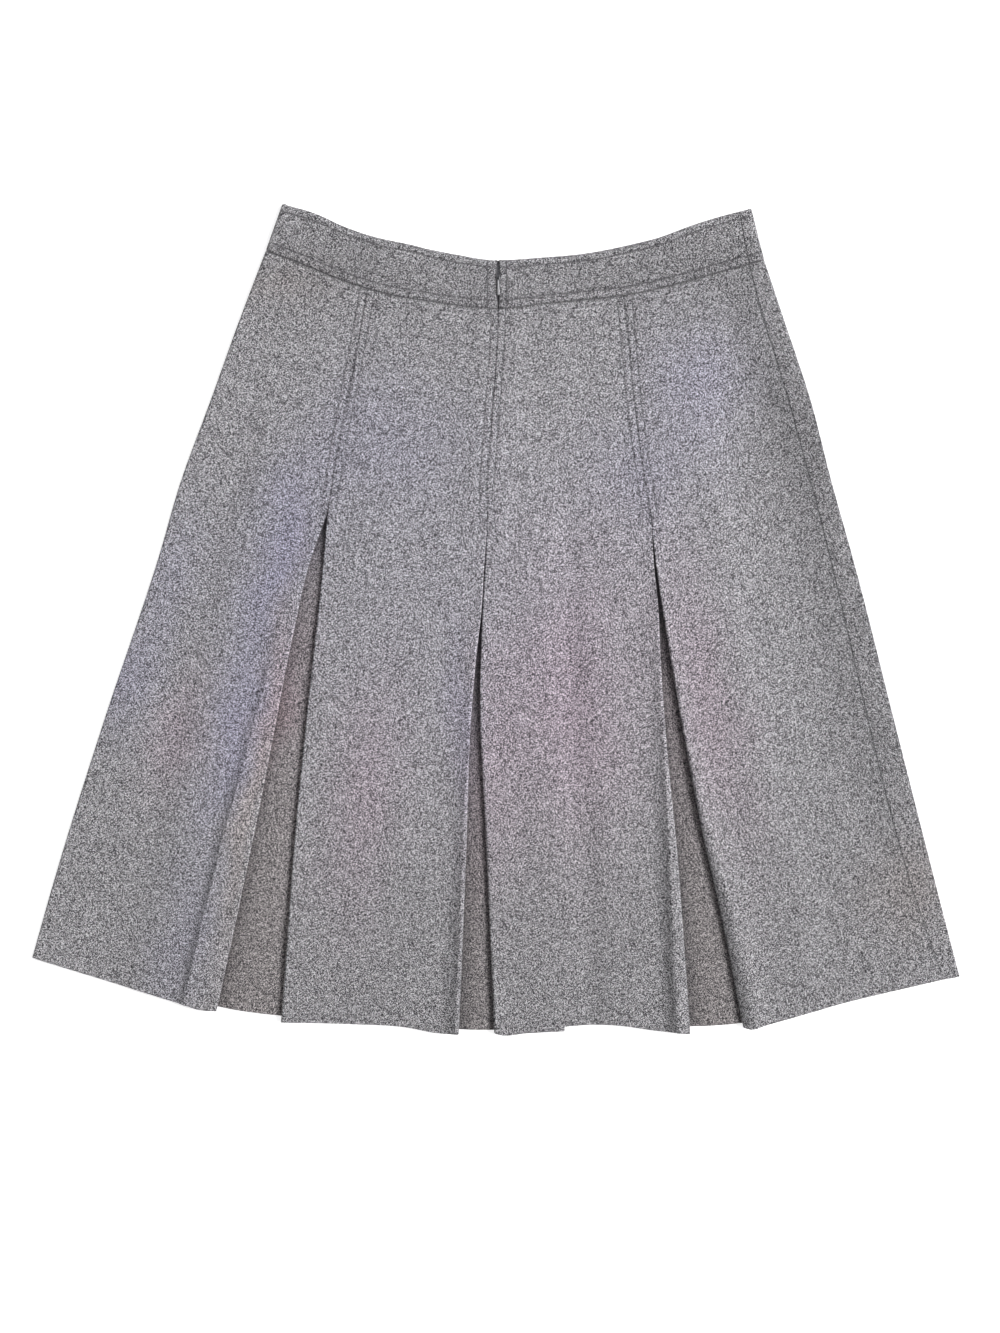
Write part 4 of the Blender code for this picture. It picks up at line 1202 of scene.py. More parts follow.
class WaistbandPiece:
    """What the waistband's three pieces share: the lines from its top edge to the waist seam."""

    name = ""

    def rows(self) -> Array:
        """The stations from the top edge to the seam, close together at both lines of stitching.

        Returns:
            The stations from 0 to 1, as a column.
        """
        low = BAND_HEIGHT - np.array(BAND_LOW_ROWS)[::-1]
        fill = np.linspace(BAND_ROWS[-1], low[0], 12)[1:-1]
        return (np.concatenate([BAND_ROWS, fill, low]) / BAND_HEIGHT)[:, None]

    def place(
        self, x_top: Array, x_low: Array, v: Array, peek: float = 0.0,
    ) -> tuple[Array, Array]:
        """The places on the straight lines from the top edge to the waist seam.

        Args:
            x_top: the x of each column on the top edge.
            x_low: the x of each column on the waist seam.
            v: the stations.
            peek: as in back_surface.

        Returns:
            The x and the y.
        """
        top = BAND_TOP.y_at(x_top) - peek * BAND.peek_at(x_top)
        low = WAIST_SEAM.y_at(x_low) + WAIST_GAP
        return x_top + (x_low - x_top) * v, top + (low - top) * v

    def sewn(self, x_top: Array, x_low: Array, v: Array) -> tuple[Array, Array]:
        """What sewing does across the band: two grooves, a puffed strip by the seam, and the rolled low edge.

        Args:
            x_top: the x of each column on the top edge.
            x_low: the x of each column on the waist seam.
            v: the stations.

        Returns:
            The change in height, and the painted shade, with painted highlight on the puffed strips.
        """
        height = BAND_TOP.y_at(x_top) - WAIST_SEAM.y_at(x_low)
        from_top, from_low = v * height, (1.0 - v) * height
        from_upper, from_lower = from_top - BAND.top_stitch, from_low - BAND.low_stitch
        low_strip, top_strip = from_low - BAND.low_strip_at, from_top - BAND.top_strip_at
        pull = 1.0 + BAND.pull * np.prod([np.sin(x_top / length) for length in BAND.pull_waves], axis=0)
        change = pull * (BAND.upper.relief(from_upper) + BAND.lower.relief(from_lower))
        change = change + BAND.low_strip.relief(low_strip) + BAND.top_strip.relief(top_strip)
        change = change + BAND.low_edge.relief(from_low)
        lines = np.maximum.reduce([
            BAND.upper.shading(from_upper), BAND.lower.shading(from_lower), BAND.low_edge.shading(from_low),
        ])
        return change, lines + BAND.low_strip.shading(low_strip) + BAND.top_strip.shading(top_strip)

    def turn_points(self, x_top: float, x_low: float, v: Array, side: Side) -> tuple[Array, float]:
        """The band's turn at a side fold.

        Args:
            x_top: the fold's x on the top edge.
            x_low: its x on the waist seam.
            v: the stations.
            side: the side that the fold is on.

        Returns:
            The turn's points, and how far in its arc ends.
        """
        x, y = self.place(np.full((1, 1), x_top), np.full((1, 1), x_low), v)
        half = CLOTH.band_thickness / 2
        low, high = np.full_like(v, half), np.full_like(v, BAND.back_floor + half)
        arc_x, arc_z = turn(x, low, high, half, side, steps=10)
        inset = float((arc_x[:, -1:] - x)[0, 0])
        return np.stack([arc_x, np.broadcast_to(y, arc_x.shape), arc_z], axis=-1), inset

    def back_surface(
        self, x_top: Array, x_low: Array, v: Array, peek: float = 0.0,
    ) -> tuple[Array, Array]:
        """The middle surface of the band where it lies on top, with its sewing and the zip's two edges.

        Args:
            x_top: the x of each column on the top edge.
            x_low: the x of each column on the waist seam.
            v: the stations.
            peek: 1 where the front band's edge shows above this piece.

        Returns:
            The points, and the painted shade at each.
        """
        x, y = self.place(x_top, x_low, v, peek)
        change, shade = self.sewn(x_top, x_low, v)
        from_zip = np.abs(x - BAND.slider_x) - BAND.slot / 2
        end_line = np.where(x < BAND.slider_x, BAND.end_stitch_left, BAND.end_stitch_right)
        from_side = BAND.side_seam[0] + (BAND.side_seam[1] - BAND.side_seam[0]) * v - x
        lines = (
            (BAND.end_line, from_zip - end_line),
            (BAND.zip_edge, from_zip),
            (BAND.side_press, from_side),
        )
        change = change + sum(press.relief(distance) for press, distance in lines)
        shade = np.maximum.reduce([shade, *(press.shading(distance) for press, distance in lines)])
        closed = (BAND.slot / 2 - BAND.closed_half) * smoothstep((v - BAND.closes_at) / BAND.closes_over)
        close = closed * narrowness(from_zip, 0.0, BAND.closes_within)
        moved = x + np.where(x < BAND.slider_x, close, -close)
        wave = BAND.wave * np.sin(x / BAND.wave_length) * np.sin(np.pi * v)
        z = BAND.back_middle(x) + change + BAND.ripple_share * RIPPLE.height(x, y) + wave
        return np.stack([moved, y, z], axis=-1), shade

    def paths(
        self, top_span: Point, low_span: Point, zip_end: float | None, peek: float = 0.0,
    ) -> list[Array]:
        """Points on the outer surface along the band's lines of topstitching.

        Args:
            top_span: the first and last x on the top edge.
            low_span: the first and last x on the waist seam.
            zip_end: the x of the line beside the zip, or None.
            peek: as in back_surface.

        Returns:
            One array of points for each line.
        """
        marks = np.linspace(0.0, 1.0, 320)[None, :]
        x_top, x_low = (span[0] + (span[1] - span[0]) * marks for span in (top_span, low_span))
        height = BAND_TOP.y_at(x_top) - WAIST_SEAM.y_at(x_low)
        stations = (BAND.top_stitch / height, 1.0 - BAND.low_stitch / height)
        lines = [self.back_surface(x_top, x_low, v, peek)[0][0] for v in stations]
        if zip_end is not None:
            x = np.full((1, 1), zip_end)
            lines.append(self.back_surface(x, x, np.linspace(0.03, 0.97, 60)[:, None], peek)[0][:, 0])
        return [line + np.array((0.0, 0.0, CLOTH.band_thickness / 2)) for line in lines]


class BackBandLeft(WaistbandPiece):
    """The left half of the back waistband, from its flap under the skirt to the zip."""

    name = "waistband_back_left"
    fold = (BAND_TOP.points[0][0], WAIST_SEAM.points[0][0])
    zip_edge = BAND.slider_x - BAND.slot / 2

    def grid(self) -> ClothGrid:
        """Works out this half's sheet.

        Returns:
            Its middle surface, its weave and its painted shade.
        """
        v = self.rows()
        arc, inset = self.turn_points(*self.fold, v, Side.LEFT)
        flap_marks = np.linspace(BAND.flap, inset + 1.0, 6)[None, :]
        x, y = self.place(self.fold[0] + flap_marks, self.fold[1] + flap_marks, v)
        flap = np.stack([x, y, np.full_like(x, CLOTH.band_thickness / 2)], axis=-1)
        by_zip = self.zip_edge - np.array(ZIP_COLUMNS)[::-1]
        run_top, run_low = (
            np.concatenate([np.linspace(start + inset + 1.0, by_zip[0] - 2.5, 52), by_zip])[None, :]
            for start in self.fold
        )
        run, shade = self.back_surface(run_top, run_low, v, 1.0)
        middle = np.concatenate([flap, arc, run], axis=1)
        shades = np.zeros(middle.shape[:2])
        shades[:, -run.shape[1] :] = shade
        return ClothGrid(middle, CLOTH.band_thickness, weave_of(middle, 45), shades)

    def stitch_paths(self) -> list[Array]:
        """The topstitching of this half."""
        spans = ((start + 2.5, self.zip_edge - BAND.end_stitch_left) for start in self.fold)
        return self.paths(*spans, self.zip_edge - BAND.end_stitch_left, 1.0)


class BackBandRight(WaistbandPiece):
    """The right half of the back waistband, from the zip to its side seam."""

    name = "waistband_back_right"
    zip_edge = BAND.slider_x + BAND.slot / 2

    def grid(self) -> ClothGrid:
        """Works out this half's sheet.

        Returns:
            Its middle surface, its weave and its painted shade.
        """
        v = self.rows()
        by_zip, by_seam = self.zip_edge + np.array(ZIP_COLUMNS), np.array(BAND_SEAM_COLUMNS)[::-1]
        run_top, run_low = (
            np.concatenate([by_zip, np.linspace(by_zip[-1] + 2.5, seam - 9.0, 56), seam - by_seam])[None, :]
            for seam in BAND.side_seam
        )
        middle, shade = self.back_surface(run_top, run_low, v)
        return ClothGrid(middle, CLOTH.band_thickness, weave_of(middle, 40), shade)

    def stitch_paths(self) -> list[Array]:
        """The topstitching of this half."""
        spans = ((self.zip_edge + BAND.end_stitch_right, seam - 1.5) for seam in BAND.side_seam)
        return self.paths(*spans, self.zip_edge + BAND.end_stitch_right)


class FrontBand(WaistbandPiece):
    """The front waistband: its short flap on top at the right, the turn, and the run on the surface."""

    name = "waistband_front"
    fold = (BAND_TOP.points[-1][0], WAIST_SEAM.points[-1][0])
    far_end = (BAND_TOP.points[0][0] + BAND.flap + 0.2, WAIST_SEAM.points[0][0] + BAND.flap + 0.2)
    inset = 4.5

    def grid(self) -> ClothGrid:
        """Works out the front waistband's sheet.

        Returns:
            Its middle surface, its weave and its painted shade.
        """
        v = self.rows()
        arc, inset = self.turn_points(*self.fold, v, Side.RIGHT)
        near = np.array(BAND_FLAP_COLUMNS)
        run_top, run_low = (
            np.concatenate([seam + near, np.linspace(seam + 5.0, end + inset - 0.8, 4)])[None, :]
            for seam, end in zip(BAND.side_seam, self.fold)
        )
        top, shade = self.back_surface(run_top, run_low, v)
        marks = np.linspace(0.0, 1.0, 110)[None, :]
        starts = (start - self.inset for start in self.fold)
        under_top, under_low = (start + (end - start) * marks for start, end in zip(starts, self.far_end))
        x, y = self.place(under_top, under_low, v)
        change, under_shade = self.sewn(under_top, under_low, v)
        under = np.stack([x, y, CLOTH.band_thickness / 2 - np.minimum(change, 0.0) * 0.5], axis=-1)
        middle = np.concatenate([top, arc[:, ::-1], under], axis=1)
        shades = np.zeros(middle.shape[:2])
        shades[:, : top.shape[1]] = shade
        shades[:, -under.shape[1] :] = under_shade
        return ClothGrid(middle, CLOTH.band_thickness, weave_of(middle, middle.shape[1] - 55), shades)

    def stitch_paths(self) -> list[Array]:
        """The topstitching of the flap that lies on top."""
        spans = ((seam + 1.5, end - 2.5) for seam, end in zip(BAND.side_seam, self.fold))
        return self.paths(*spans, None)


class Num:
    """A number that varies over a surface: one output socket, with arithmetic that adds Math nodes."""

    def __init__(self, graph: "NodeGraph", socket: Socket):
        """Wraps the socket."""
        self.graph = graph
        self.socket = socket

    def _math(self, operation: str, *values: "Num | float") -> "Num":
        """Adds a Math node on the values, in order."""
        inputs = {i: value for i, value in enumerate(values)}
        return self.graph.number("ShaderNodeMath", {"operation": operation}, inputs)

    def __add__(self, other: "Num | float") -> "Num":
        """This plus the other."""
        return self._math("ADD", self, other)

    __radd__ = __add__

    def __mul__(self, other: "Num | float") -> "Num":
        """This times the other."""
        return self._math("MULTIPLY", self, other)

    __rmul__ = __mul__

    def exponential(self) -> "Num":
        """e to the power of this."""
        return self._math("EXPONENT", self)

    def step(self, low: float, high: float) -> "Num":
        """An even S from 0 at low to 1 at high."""
        settings = {"interpolation_type": "SMOOTHSTEP"}
        inputs = {"Value": self, "From Min": low, "From Max": high}
        return self.graph.number("ShaderNodeMapRange", settings, inputs)


class NodeGraph:
    """A material's nodes, and the one method that adds to them."""

    def __init__(self, name: str):
        """Starts a material with its Principled shader."""
        self.material = bpy.data.materials.new(name)
        self.material.use_nodes = True
        self.tree = self.material.node_tree
        self.shader = self.tree.nodes["Principled BSDF"]

    def node(self, kind: str, settings: dict, inputs: dict) -> bpy.types.Node:
        """Adds a node.

        Args:
            kind: the node's type.
            settings: its own properties, set first.
            inputs: the values or links of its sockets, by name or number.

        Returns:
            The new node.
        """
        made = self.tree.nodes.new(kind)
        for key, value in settings.items():
            setattr(made, key, value)
        for key, value in inputs.items():
            self.feed(made.inputs[key], value)
        return made

    def feed(self, socket: Socket, value: object) -> None:
        """Links a socket to a number or another socket, or sets its value."""
        if isinstance(value, Num):
            self.tree.links.new(value.socket, socket)
        elif isinstance(value, Socket):
            self.tree.links.new(value, socket)
        else:
            socket.default_value = value

    def number(self, kind: str, settings: dict, inputs: dict, output: int | str = 0) -> Num:
        """Adds a node and gives one of its outputs as a number."""
        return Num(self, self.node(kind, settings, inputs).outputs[output])

    def mix(self, factor: "Num | float", a: object, b: object, blend: str = "MIX") -> Socket:
        """Mixes two colours.

        Args:
            factor: how much of the second, from 0 to 1.
            a: the first colour.
            b: the second one.
            blend: how they are blended.

        Returns:
            The result's socket.
        """
        made = self.node("ShaderNodeMix", {"data_type": "RGBA", "blend_type": blend}, {"Factor": factor})
        self.feed(made.inputs[6], a)
        self.feed(made.inputs[7], b)
        return made.outputs[2]

    def place(self) -> Socket:
        """The place on the piece: Object coordinates, in metres."""
        return self.node("ShaderNodeTexCoord", {}, {}).outputs["Object"]

    def noise(self, vector: Socket, scale: float, detail: float) -> Num:
        """A smooth noise, from 0 to 1 about 0.5, whose cells are one over its scale."""
        return self.number("ShaderNodeTexNoise", {}, {"Vector": vector, "Scale": scale, "Detail": detail})

    def bump(self, height: Num, strength: float, distance: float) -> Socket:
        """The normal that a height gives the surface."""
        inputs = {"Height": height, "Strength": strength, "Distance": distance}
        return self.node("ShaderNodeBump", {}, inputs).outputs[0]

    def finish(self, surface: dict[str, object]) -> bpy.types.Material:
        """Feeds the surface's sockets by name, and gives the finished material."""
        for name, value in surface.items():
            self.feed(self.shader.inputs[name], value)
        return self.material

    def strokes(self, vector: Socket, scale: float) -> Num:
        """Cells of one random shade each, from 0 to 1, one over the scale across."""
        inputs = {"Vector": vector, "Scale": scale}
        cells = self.node("ShaderNodeTexVoronoi", {"voronoi_dimensions": "2D"}, inputs)
        return self.number("ShaderNodeSeparateColor", {}, {"Color": cells.outputs["Color"]})

    def turned(
        self, vector: Socket, degrees: float, squeeze: Point = (1.0, 1.0),
    ) -> Socket:
        """The coordinates turned, and then squeezed so that a pattern on them is longer one way.

        Args:
            vector: the coordinates.
            degrees: the turn about Z.
            squeeze: the scale along X and Y.

        Returns:
            The new coordinates.
        """
        rotation = (0.0, 0.0, math.radians(degrees))
        turned = self.node("ShaderNodeMapping", {}, {"Vector": vector, "Rotation": rotation}).outputs[0]
        return self.node("ShaderNodeMapping", {}, {"Vector": turned, "Scale": (*squeeze, 1.0)}).outputs[0]

    def vector(self, operation: str, *values: object) -> bpy.types.Node:
        """Adds a Vector Math node on the values, in order."""
        return self.node("ShaderNodeVectorMath", {"operation": operation}, dict(enumerate(values)))


@dataclass(frozen=True)
class Tint:
    """A soft cast of colour, or of painted light or painted shade, over the cloth: an ellipse on the laid
    skirt, turned, in millimetres.
    """

    centre: Point
    radii: Point
    degrees: float
    colour: tuple[float, float, float]
    strength: float


BLUE_CAST = (0.935, 0.93, 1.09)
MAUVE_CAST = (1.09, 0.95, 1.02)
BROWN_CAST = (1.06, 0.99, 0.94)
# The next two casts are painted light and painted shade.
PAINTED_LIGHT = (1.14, 1.13, 1.15)
PAINTED_SHADE = (0.72, 0.72, 0.72)

# Casts over the laid skirt. The light ones are painted light over the middle and beside the right pleat, and
# the dark ones painted shade along the waistband, down the right side, along the hem and at the lower left.
TINTS = (
    Tint((-60.0, 20.0), (210.0, 170.0), 0.0, BLUE_CAST, 0.25),
    Tint((-222.0, -92.0), (20.0, 90.0), -15.0, BLUE_CAST, 1.0),
    Tint((-183.0, 62.0), (28.0, 75.0), -20.0, BLUE_CAST, 1.0),
    Tint((-275.0, 40.0), (26.0, 60.0), -18.0, BLUE_CAST, 0.5),
    Tint((-312.0, -48.0), (26.0, 45.0), -18.0, BLUE_CAST, 0.7),
    Tint((-268.0, -270.0), (26.0, 60.0), -14.0, BLUE_CAST, 0.5),
    Tint((-95.0, 155.0), (60.0, 60.0), 0.0, BLUE_CAST, 0.5),
    Tint((172.0, 205.0), (42.0, 55.0), 6.0, BLUE_CAST, 0.65),
    Tint((125.0, 125.0), (50.0, 50.0), 4.0, BLUE_CAST, 0.45),
    Tint((-33.0, -90.0), (12.0, 75.0), 2.0, BLUE_CAST, 0.5),
    Tint((68.0, -75.0), (55.0, 120.0), 0.0, MAUVE_CAST, 1.0),
    Tint((-5.0, -125.0), (30.0, 100.0), 0.0, MAUVE_CAST, 0.6),
    Tint((-112.0, -150.0), (34.0, 95.0), -8.0, MAUVE_CAST, 0.75),
    Tint((182.0, -70.0), (30.0, 115.0), 14.0, MAUVE_CAST, 0.8),
    Tint((-182.0, -60.0), (18.0, 60.0), -16.0, MAUVE_CAST, 0.8),
    Tint((-205.0, -130.0), (11.0, 150.0), -11.0, BROWN_CAST, 1.0),
    Tint((-270.0, -95.0), (24.0, 50.0), -20.0, MAUVE_CAST, 0.7),
    Tint((-180.0, 285.0), (40.0, 20.0), 0.0, BROWN_CAST, 0.5),
    Tint((350.0, -225.0), (36.0, 36.0), 0.0, BROWN_CAST, 0.7),
    Tint((70.0, 60.0), (170.0, 160.0), 0.0, PAINTED_LIGHT, 0.6),
    Tint((178.0, 190.0), (28.0, 60.0), 6.0, PAINTED_LIGHT, 0.6),
    Tint((-145.0, 297.0), (95.0, 30.0), 0.0, PAINTED_SHADE, 0.6),
    Tint((165.0, 297.0), (95.0, 30.0), 0.0, PAINTED_SHADE, 0.65),
    Tint((0.0, 265.0), (110.0, 30.0), 0.0, PAINTED_SHADE, 0.25),
    Tint((60.0, 235.0), (200.0, 40.0), 0.0, PAINTED_SHADE, 0.08),
    Tint((252.0, 165.0), (34.0, 120.0), 16.0, PAINTED_SHADE, 1.0),
    Tint((292.0, 0.0), (32.0, 150.0), 14.0, PAINTED_SHADE, 0.6),
    Tint((325.0, -120.0), (26.0, 110.0), 14.0, PAINTED_SHADE, 0.4),
    Tint((345.0, -190.0), (90.0, 130.0), 14.0, PAINTED_SHADE, 0.35),
    Tint((40.0, -330.0), (440.0, 130.0), 0.0, PAINTED_SHADE, 0.55),
    Tint((-330.0, -170.0), (90.0, 130.0), 0.0, PAINTED_SHADE, 0.2),
)


@dataclass(frozen=True)
class WoolFinish:
    """Heathered wool: dark, middling and light fibres in short strokes, with painted shade in its sewn lines
    and elsewhere, and painted highlight.

    balance is the fibres' shade that gets the middle colour, and spread how far from it dark and light are
    whole. The two shares are how far a painted shade of 1 turns the wool to the seam colour, and a painted
    highlight of -1 to the light one. layers are the strokes along the twill, the warp and the weft, as (turn
    in degrees, squeeze, share).
    """

    name: str
    dark: Colour = (0.022, 0.0205, 0.024, 1.0)
    middle: Colour = (0.12, 0.1155, 0.127, 1.0)
    light: Colour = (0.68, 0.668, 0.692, 1.0)
    # seam is the near-black that painted shade turns the wool to; in the seams it is partly their own dark
    # line.
    seam: Colour = (0.03, 0.028, 0.033, 1.0)
    cast: Colour = (1.0, 1.0, 1.0, 1.0)
    tints: tuple[Tint, ...] = TINTS
    balance: float = 0.55
    spread: float = 0.12
    layers: tuple[tuple[float, Point, float], ...] = (
        (-58.0, (0.8, 1.0), 0.4), (3.0, (1.0, 0.7), 0.3), (-2.0, (0.7, 1.0), 0.3),
    )
    strokes: float = 2500.0
    painted_darkening: float = 0.9
    painted_lightening: float = 0.32
    bump: float = 0.5
    wander: float = 0.05

    def heather(self, graph: NodeGraph, weave: Socket) -> Num:
        """The fibres' light and dark, from 0 to 1: the sum of short strokes of one random shade each.

        Args:
            graph: the material's nodes.
            weave: the cloth's own coordinates.

        Returns:
            The shade, about 0.5.
        """
        twill, warp, weft = (
            graph.strokes(graph.turned(weave, degrees, squeeze), self.strokes) * share
            for degrees, squeeze, share in self.layers
        )
        return twill + warp + weft

    def tinted(self, graph: NodeGraph, colour: Socket) -> Socket:
        """The colour with each tint multiplied in: e to the minus squared distance over its radii.

        Args:
            graph: the material's nodes.
            colour: the wool's own colour.

        Returns:
            The tinted colour's socket.
        """
        place = graph.place()
        wander = graph.node("ShaderNodeTexNoise", {}, {"Vector": place, "Scale": 14.0, "Detail": 3.0})
        moved = graph.vector("MULTIPLY_ADD", wander.outputs["Color"], (self.wander, self.wander, 0.0), place)
        for tint in self.tints:
            centre = (tint.centre[0] * MM + self.wander / 2, tint.centre[1] * MM + self.wander / 2, 0.0)
            offset = graph.vector("SUBTRACT", moved.outputs[0], centre).outputs[0]
            turned = graph.turned(offset, -tint.degrees)
            shared = graph.vector("DIVIDE", turned, (tint.radii[0] * MM, tint.radii[1] * MM, 1000.0))
            length = Num(graph, graph.vector("LENGTH", shared.outputs[0]).outputs["Value"])
            near = (length * length * -1.0).exponential() * tint.strength
            colour = graph.mix(near, colour, graph.mix(1.0, colour, (*tint.colour, 1.0), "MULTIPLY"))
        return colour

    def build(self) -> bpy.types.Material:
        """Makes the material."""
        graph = NodeGraph(self.name)
        weave = graph.node("ShaderNodeUVMap", {"uv_map": "weave"}, {}).outputs[0]
        fibres = self.heather(graph, weave)
        contrast = fibres.step(self.balance - self.spread, self.balance + self.spread)
        ramp = graph.node("ShaderNodeValToRGB", {}, {"Fac": contrast})
        stops = ramp.color_ramp.elements
        stops[0].color, stops[1].color = self.dark, self.light
        stops.new(0.5).color = self.middle
        colour = graph.mix(1.0, self.tinted(graph, ramp.outputs[0]), self.cast, "MULTIPLY")
        shade = graph.number("ShaderNodeAttribute", {"attribute_name": "painted_shade"}, {}, "Fac")
        # Painted shade darkens the wool towards the seam colour; a shade below 0 is painted highlight towards
        # the light fibres.
        colour = graph.mix(shade * self.painted_darkening, colour, self.seam)
        colour = graph.mix(shade * -self.painted_lightening, colour, self.light)
        inputs = {"Vector": weave, "Scale": 1500.0, "Detail": 2.0, "Roughness": 0.6}
        nap = graph.number("ShaderNodeTexNoise", {"noise_dimensions": "2D"}, inputs)
        return graph.finish({
            "Base Color": colour,
            "Roughness": fibres * 0.2 + 0.78,
            "Normal": graph.bump(fibres + nap * 0.4, self.bump, 0.0005),
            "Sheen Weight": 0.25,
            "Sheen Roughness": 0.6,
            "Specular IOR Level": 0.15,
        })


@dataclass(frozen=True)
class TapeFinish:
    """The zip's woven tape: fine ribs across a dark grey."""

    name: str = "zip_tape_weave"

    def build(self) -> bpy.types.Material:
        """Makes the material."""
        graph = NodeGraph(self.name)
        inputs = {"Vector": graph.place(), "Scale": 620.0, "Distortion": 1.5}
        ribs = graph.number("ShaderNodeTexWave", {"bands_direction": "Y"}, inputs)
        return graph.finish({
            "Base Color": graph.mix(ribs, (0.10, 0.098, 0.108, 1.0), (0.17, 0.166, 0.18, 1.0)),
            "Roughness": ribs * 0.15 + 0.75,
            "Normal": graph.bump(ribs, 0.4, 0.0003),
        })


@dataclass(frozen=True)
class MetalFinish:
    """The zip's satin metal, worn brighter in small patches."""

    name: str
    dark: Colour
    light: Colour
    roughness: float

    def build(self) -> bpy.types.Material:
        """Makes the material."""
        graph = NodeGraph(self.name)
        wear = graph.noise(graph.place(), 900.0, 3.0)
        return graph.finish({
            "Base Color": graph.mix(wear.step(0.35, 0.65), self.dark, self.light),
            "Roughness": wear * 0.2 + (self.roughness - 0.1),
            "Metallic": 0.9,
        })


@dataclass(frozen=True)
class ThreadFinish:
    """Dark grey sewing thread, with the light and dark of its twist."""

    name: str = "sewing_thread"

    def build(self) -> bpy.types.Material:
        """Makes the material."""
        graph = NodeGraph(self.name)
        twist = graph.noise(graph.place(), 2500.0, 2.0)
        return graph.finish({
            "Base Color": graph.mix(twist, (0.04, 0.039, 0.045, 1.0), (0.11, 0.107, 0.12, 1.0)),
            "Roughness": twist * 0.2 + 0.6,
        })


@dataclass(frozen=True)
class FloorFinish:
    """The plain pale surface that the skirt is laid on."""

    name: str = "pale_floor"
    glow: float = 0.6

    def build(self) -> bpy.types.Material:
        """Makes the material."""
        return NodeGraph(self.name).finish({
            "Base Color": (0.93, 0.93, 0.93, 1.0),
            "Roughness": 0.9,
            "Emission Color": (1.0, 1.0, 1.0, 1.0),
            "Emission Strength": self.glow,
        })


@dataclass
class Stitches:
    """Lines of topstitching, each stitch a short round-ended thread lying in its groove.

    rings gives each stitch's rings as (place along it, share of the radius, rise), in shares of its length
    and in millimetres.
    """

    name: str
    length: float = 2.5
    pitch: float = 3.1
    radius: float = 0.24
    rings: tuple[tuple[float, float, float], ...] = (
        (-0.5, 0.25, -0.16), (-0.38, 0.85, 0.02), (0.0, 1.0, 0.1), (0.38, 0.85, 0.02), (0.5, 0.25, -0.16),
    )
    paths: list[Array] = field(default_factory=list)

    def add(self, path: Array) -> None:
        """Adds a line along points on the cloth."""
        self.paths.append(path)

    def places(self) -> tuple[Array, Array]:
        """Where every stitch lies, even along each line.

        Returns:
            The middle and the direction of each.
        """
        middles, ways = [], []
        for path in self.paths:
            way = np.concatenate([[0.0], np.cumsum(np.linalg.norm(np.diff(path, axis=0), axis=1))])
            at = np.arange(self.pitch / 2, way[-1], self.pitch)
            before, after = (
                np.stack([np.interp(at + s, way, path[:, k]) for k in range(3)], axis=-1) for s in (-1.0, 1.0)
            )
            middles.append((before + after) / 2)
            ways.append((after - before) / np.linalg.norm(after - before, axis=1, keepdims=True))
        return np.concatenate(middles), np.concatenate(ways)

    def build(self) -> bpy.types.Object:
        """Joins all the stitches: a profile of rings along each, whose radius falls to its ends."""
        middles, ways = self.places()
        along, size, rise = np.array(self.rings).T * np.array((self.length, self.radius, 1.0))[:, None]
        angle = circle(6)
        across = np.cross(ways, np.array((0.0, 0.0, 1.0)))
        across /= np.linalg.norm(across, axis=1, keepdims=True)
        lift = np.cross(across, ways)
        points = (
            middles[:, None, None, :]
            + along[None, :, None, None] * ways[:, None, None, :]
            + (size[:, None] * np.cos(angle))[None, :, :, None] * across[:, None, None, :]
            + (size[:, None] * np.sin(angle) + rise[:, None])[None, :, :, None] * lift[:, None, None, :]
        )
        count, rings, sides = points.shape[:3]
        index = np.arange(count * rings * sides).reshape(count, rings, sides)
        first, last = index[:, 0], index[:, -1]
        caps = (first[:, [0, 1, 2, 3]], first[:, [3, 4, 5, 0]], last[:, [3, 2, 1, 0]], last[:, [0, 5, 4, 3]])
        return mesh_object(self.name, points.reshape(-1, 3), np.concatenate([tube_walls(index), *caps]))


@dataclass
class ZipCoil:
    """The zip's closed coil: two rows of small bent loops that lock along the tape's middle."""

    name: str = "zip_coil"
    pitch: float = 1.4
    top: float = 284.0
    bottom: float = 114.0
    straight_above: float = 263.0
    half_width: float = 1.1
    wire: float = 0.34
    lock: float = 0.15
    lean: float = 0.12
    half_height: float = 0.33
    floor: tuple[Point, ...] = ((114.0, 4.0), (266.0, 4.0), (284.0, 3.2))

    def build(self) -> bpy.types.Object:
        """Joins the loops: for each, a half turn of round wire from the tape to the middle and back."""
        y = np.arange(self.bottom, self.top, self.pitch / 2)
        way = np.where(np.arange(len(y)) % 2 == 0, -1.0, 1.0)
        seam = CENTRE_PLEAT.seam
        along_seam = seam.x_at(np.minimum(y, self.straight_above))
        centre = np.where(y > self.straight_above, BAND.slider_x, along_seam)
        floor = np.interp(y, *zip(*self.floor))
        bend = np.linspace(-0.5, 0.5, 7) * np.pi
        reach = (1.0 - np.cos(bend)) * self.half_width
        path = np.stack([
            centre[:, None] + way[:, None] * (reach[None, :] - self.lock),
            y[:, None] + self.lean * np.sin(bend)[None, :],
            floor[:, None] + self.wire + self.half_height * (1.0 + np.sin(bend))[None, :],
        ], axis=-1)
        tangent = np.gradient(path, axis=1)
        tangent /= np.linalg.norm(tangent, axis=2, keepdims=True)
        side = np.cross(tangent, np.array((0.0, 1.0, 0.0)))
        side /= np.linalg.norm(side, axis=2, keepdims=True)
        other = np.cross(tangent, side)
        angle = circle(5)[None, None, :, None]
        ring = np.cos(angle) * side[:, :, None] + np.sin(angle) * other[:, :, None]
        points = path[:, :, None] + self.wire * ring
        index = np.arange(points[..., 0].size).reshape(points.shape[:3])
        return mesh_object(self.name, points.reshape(-1, 3), tube_walls(index)[:, [0, 3, 2, 1]])


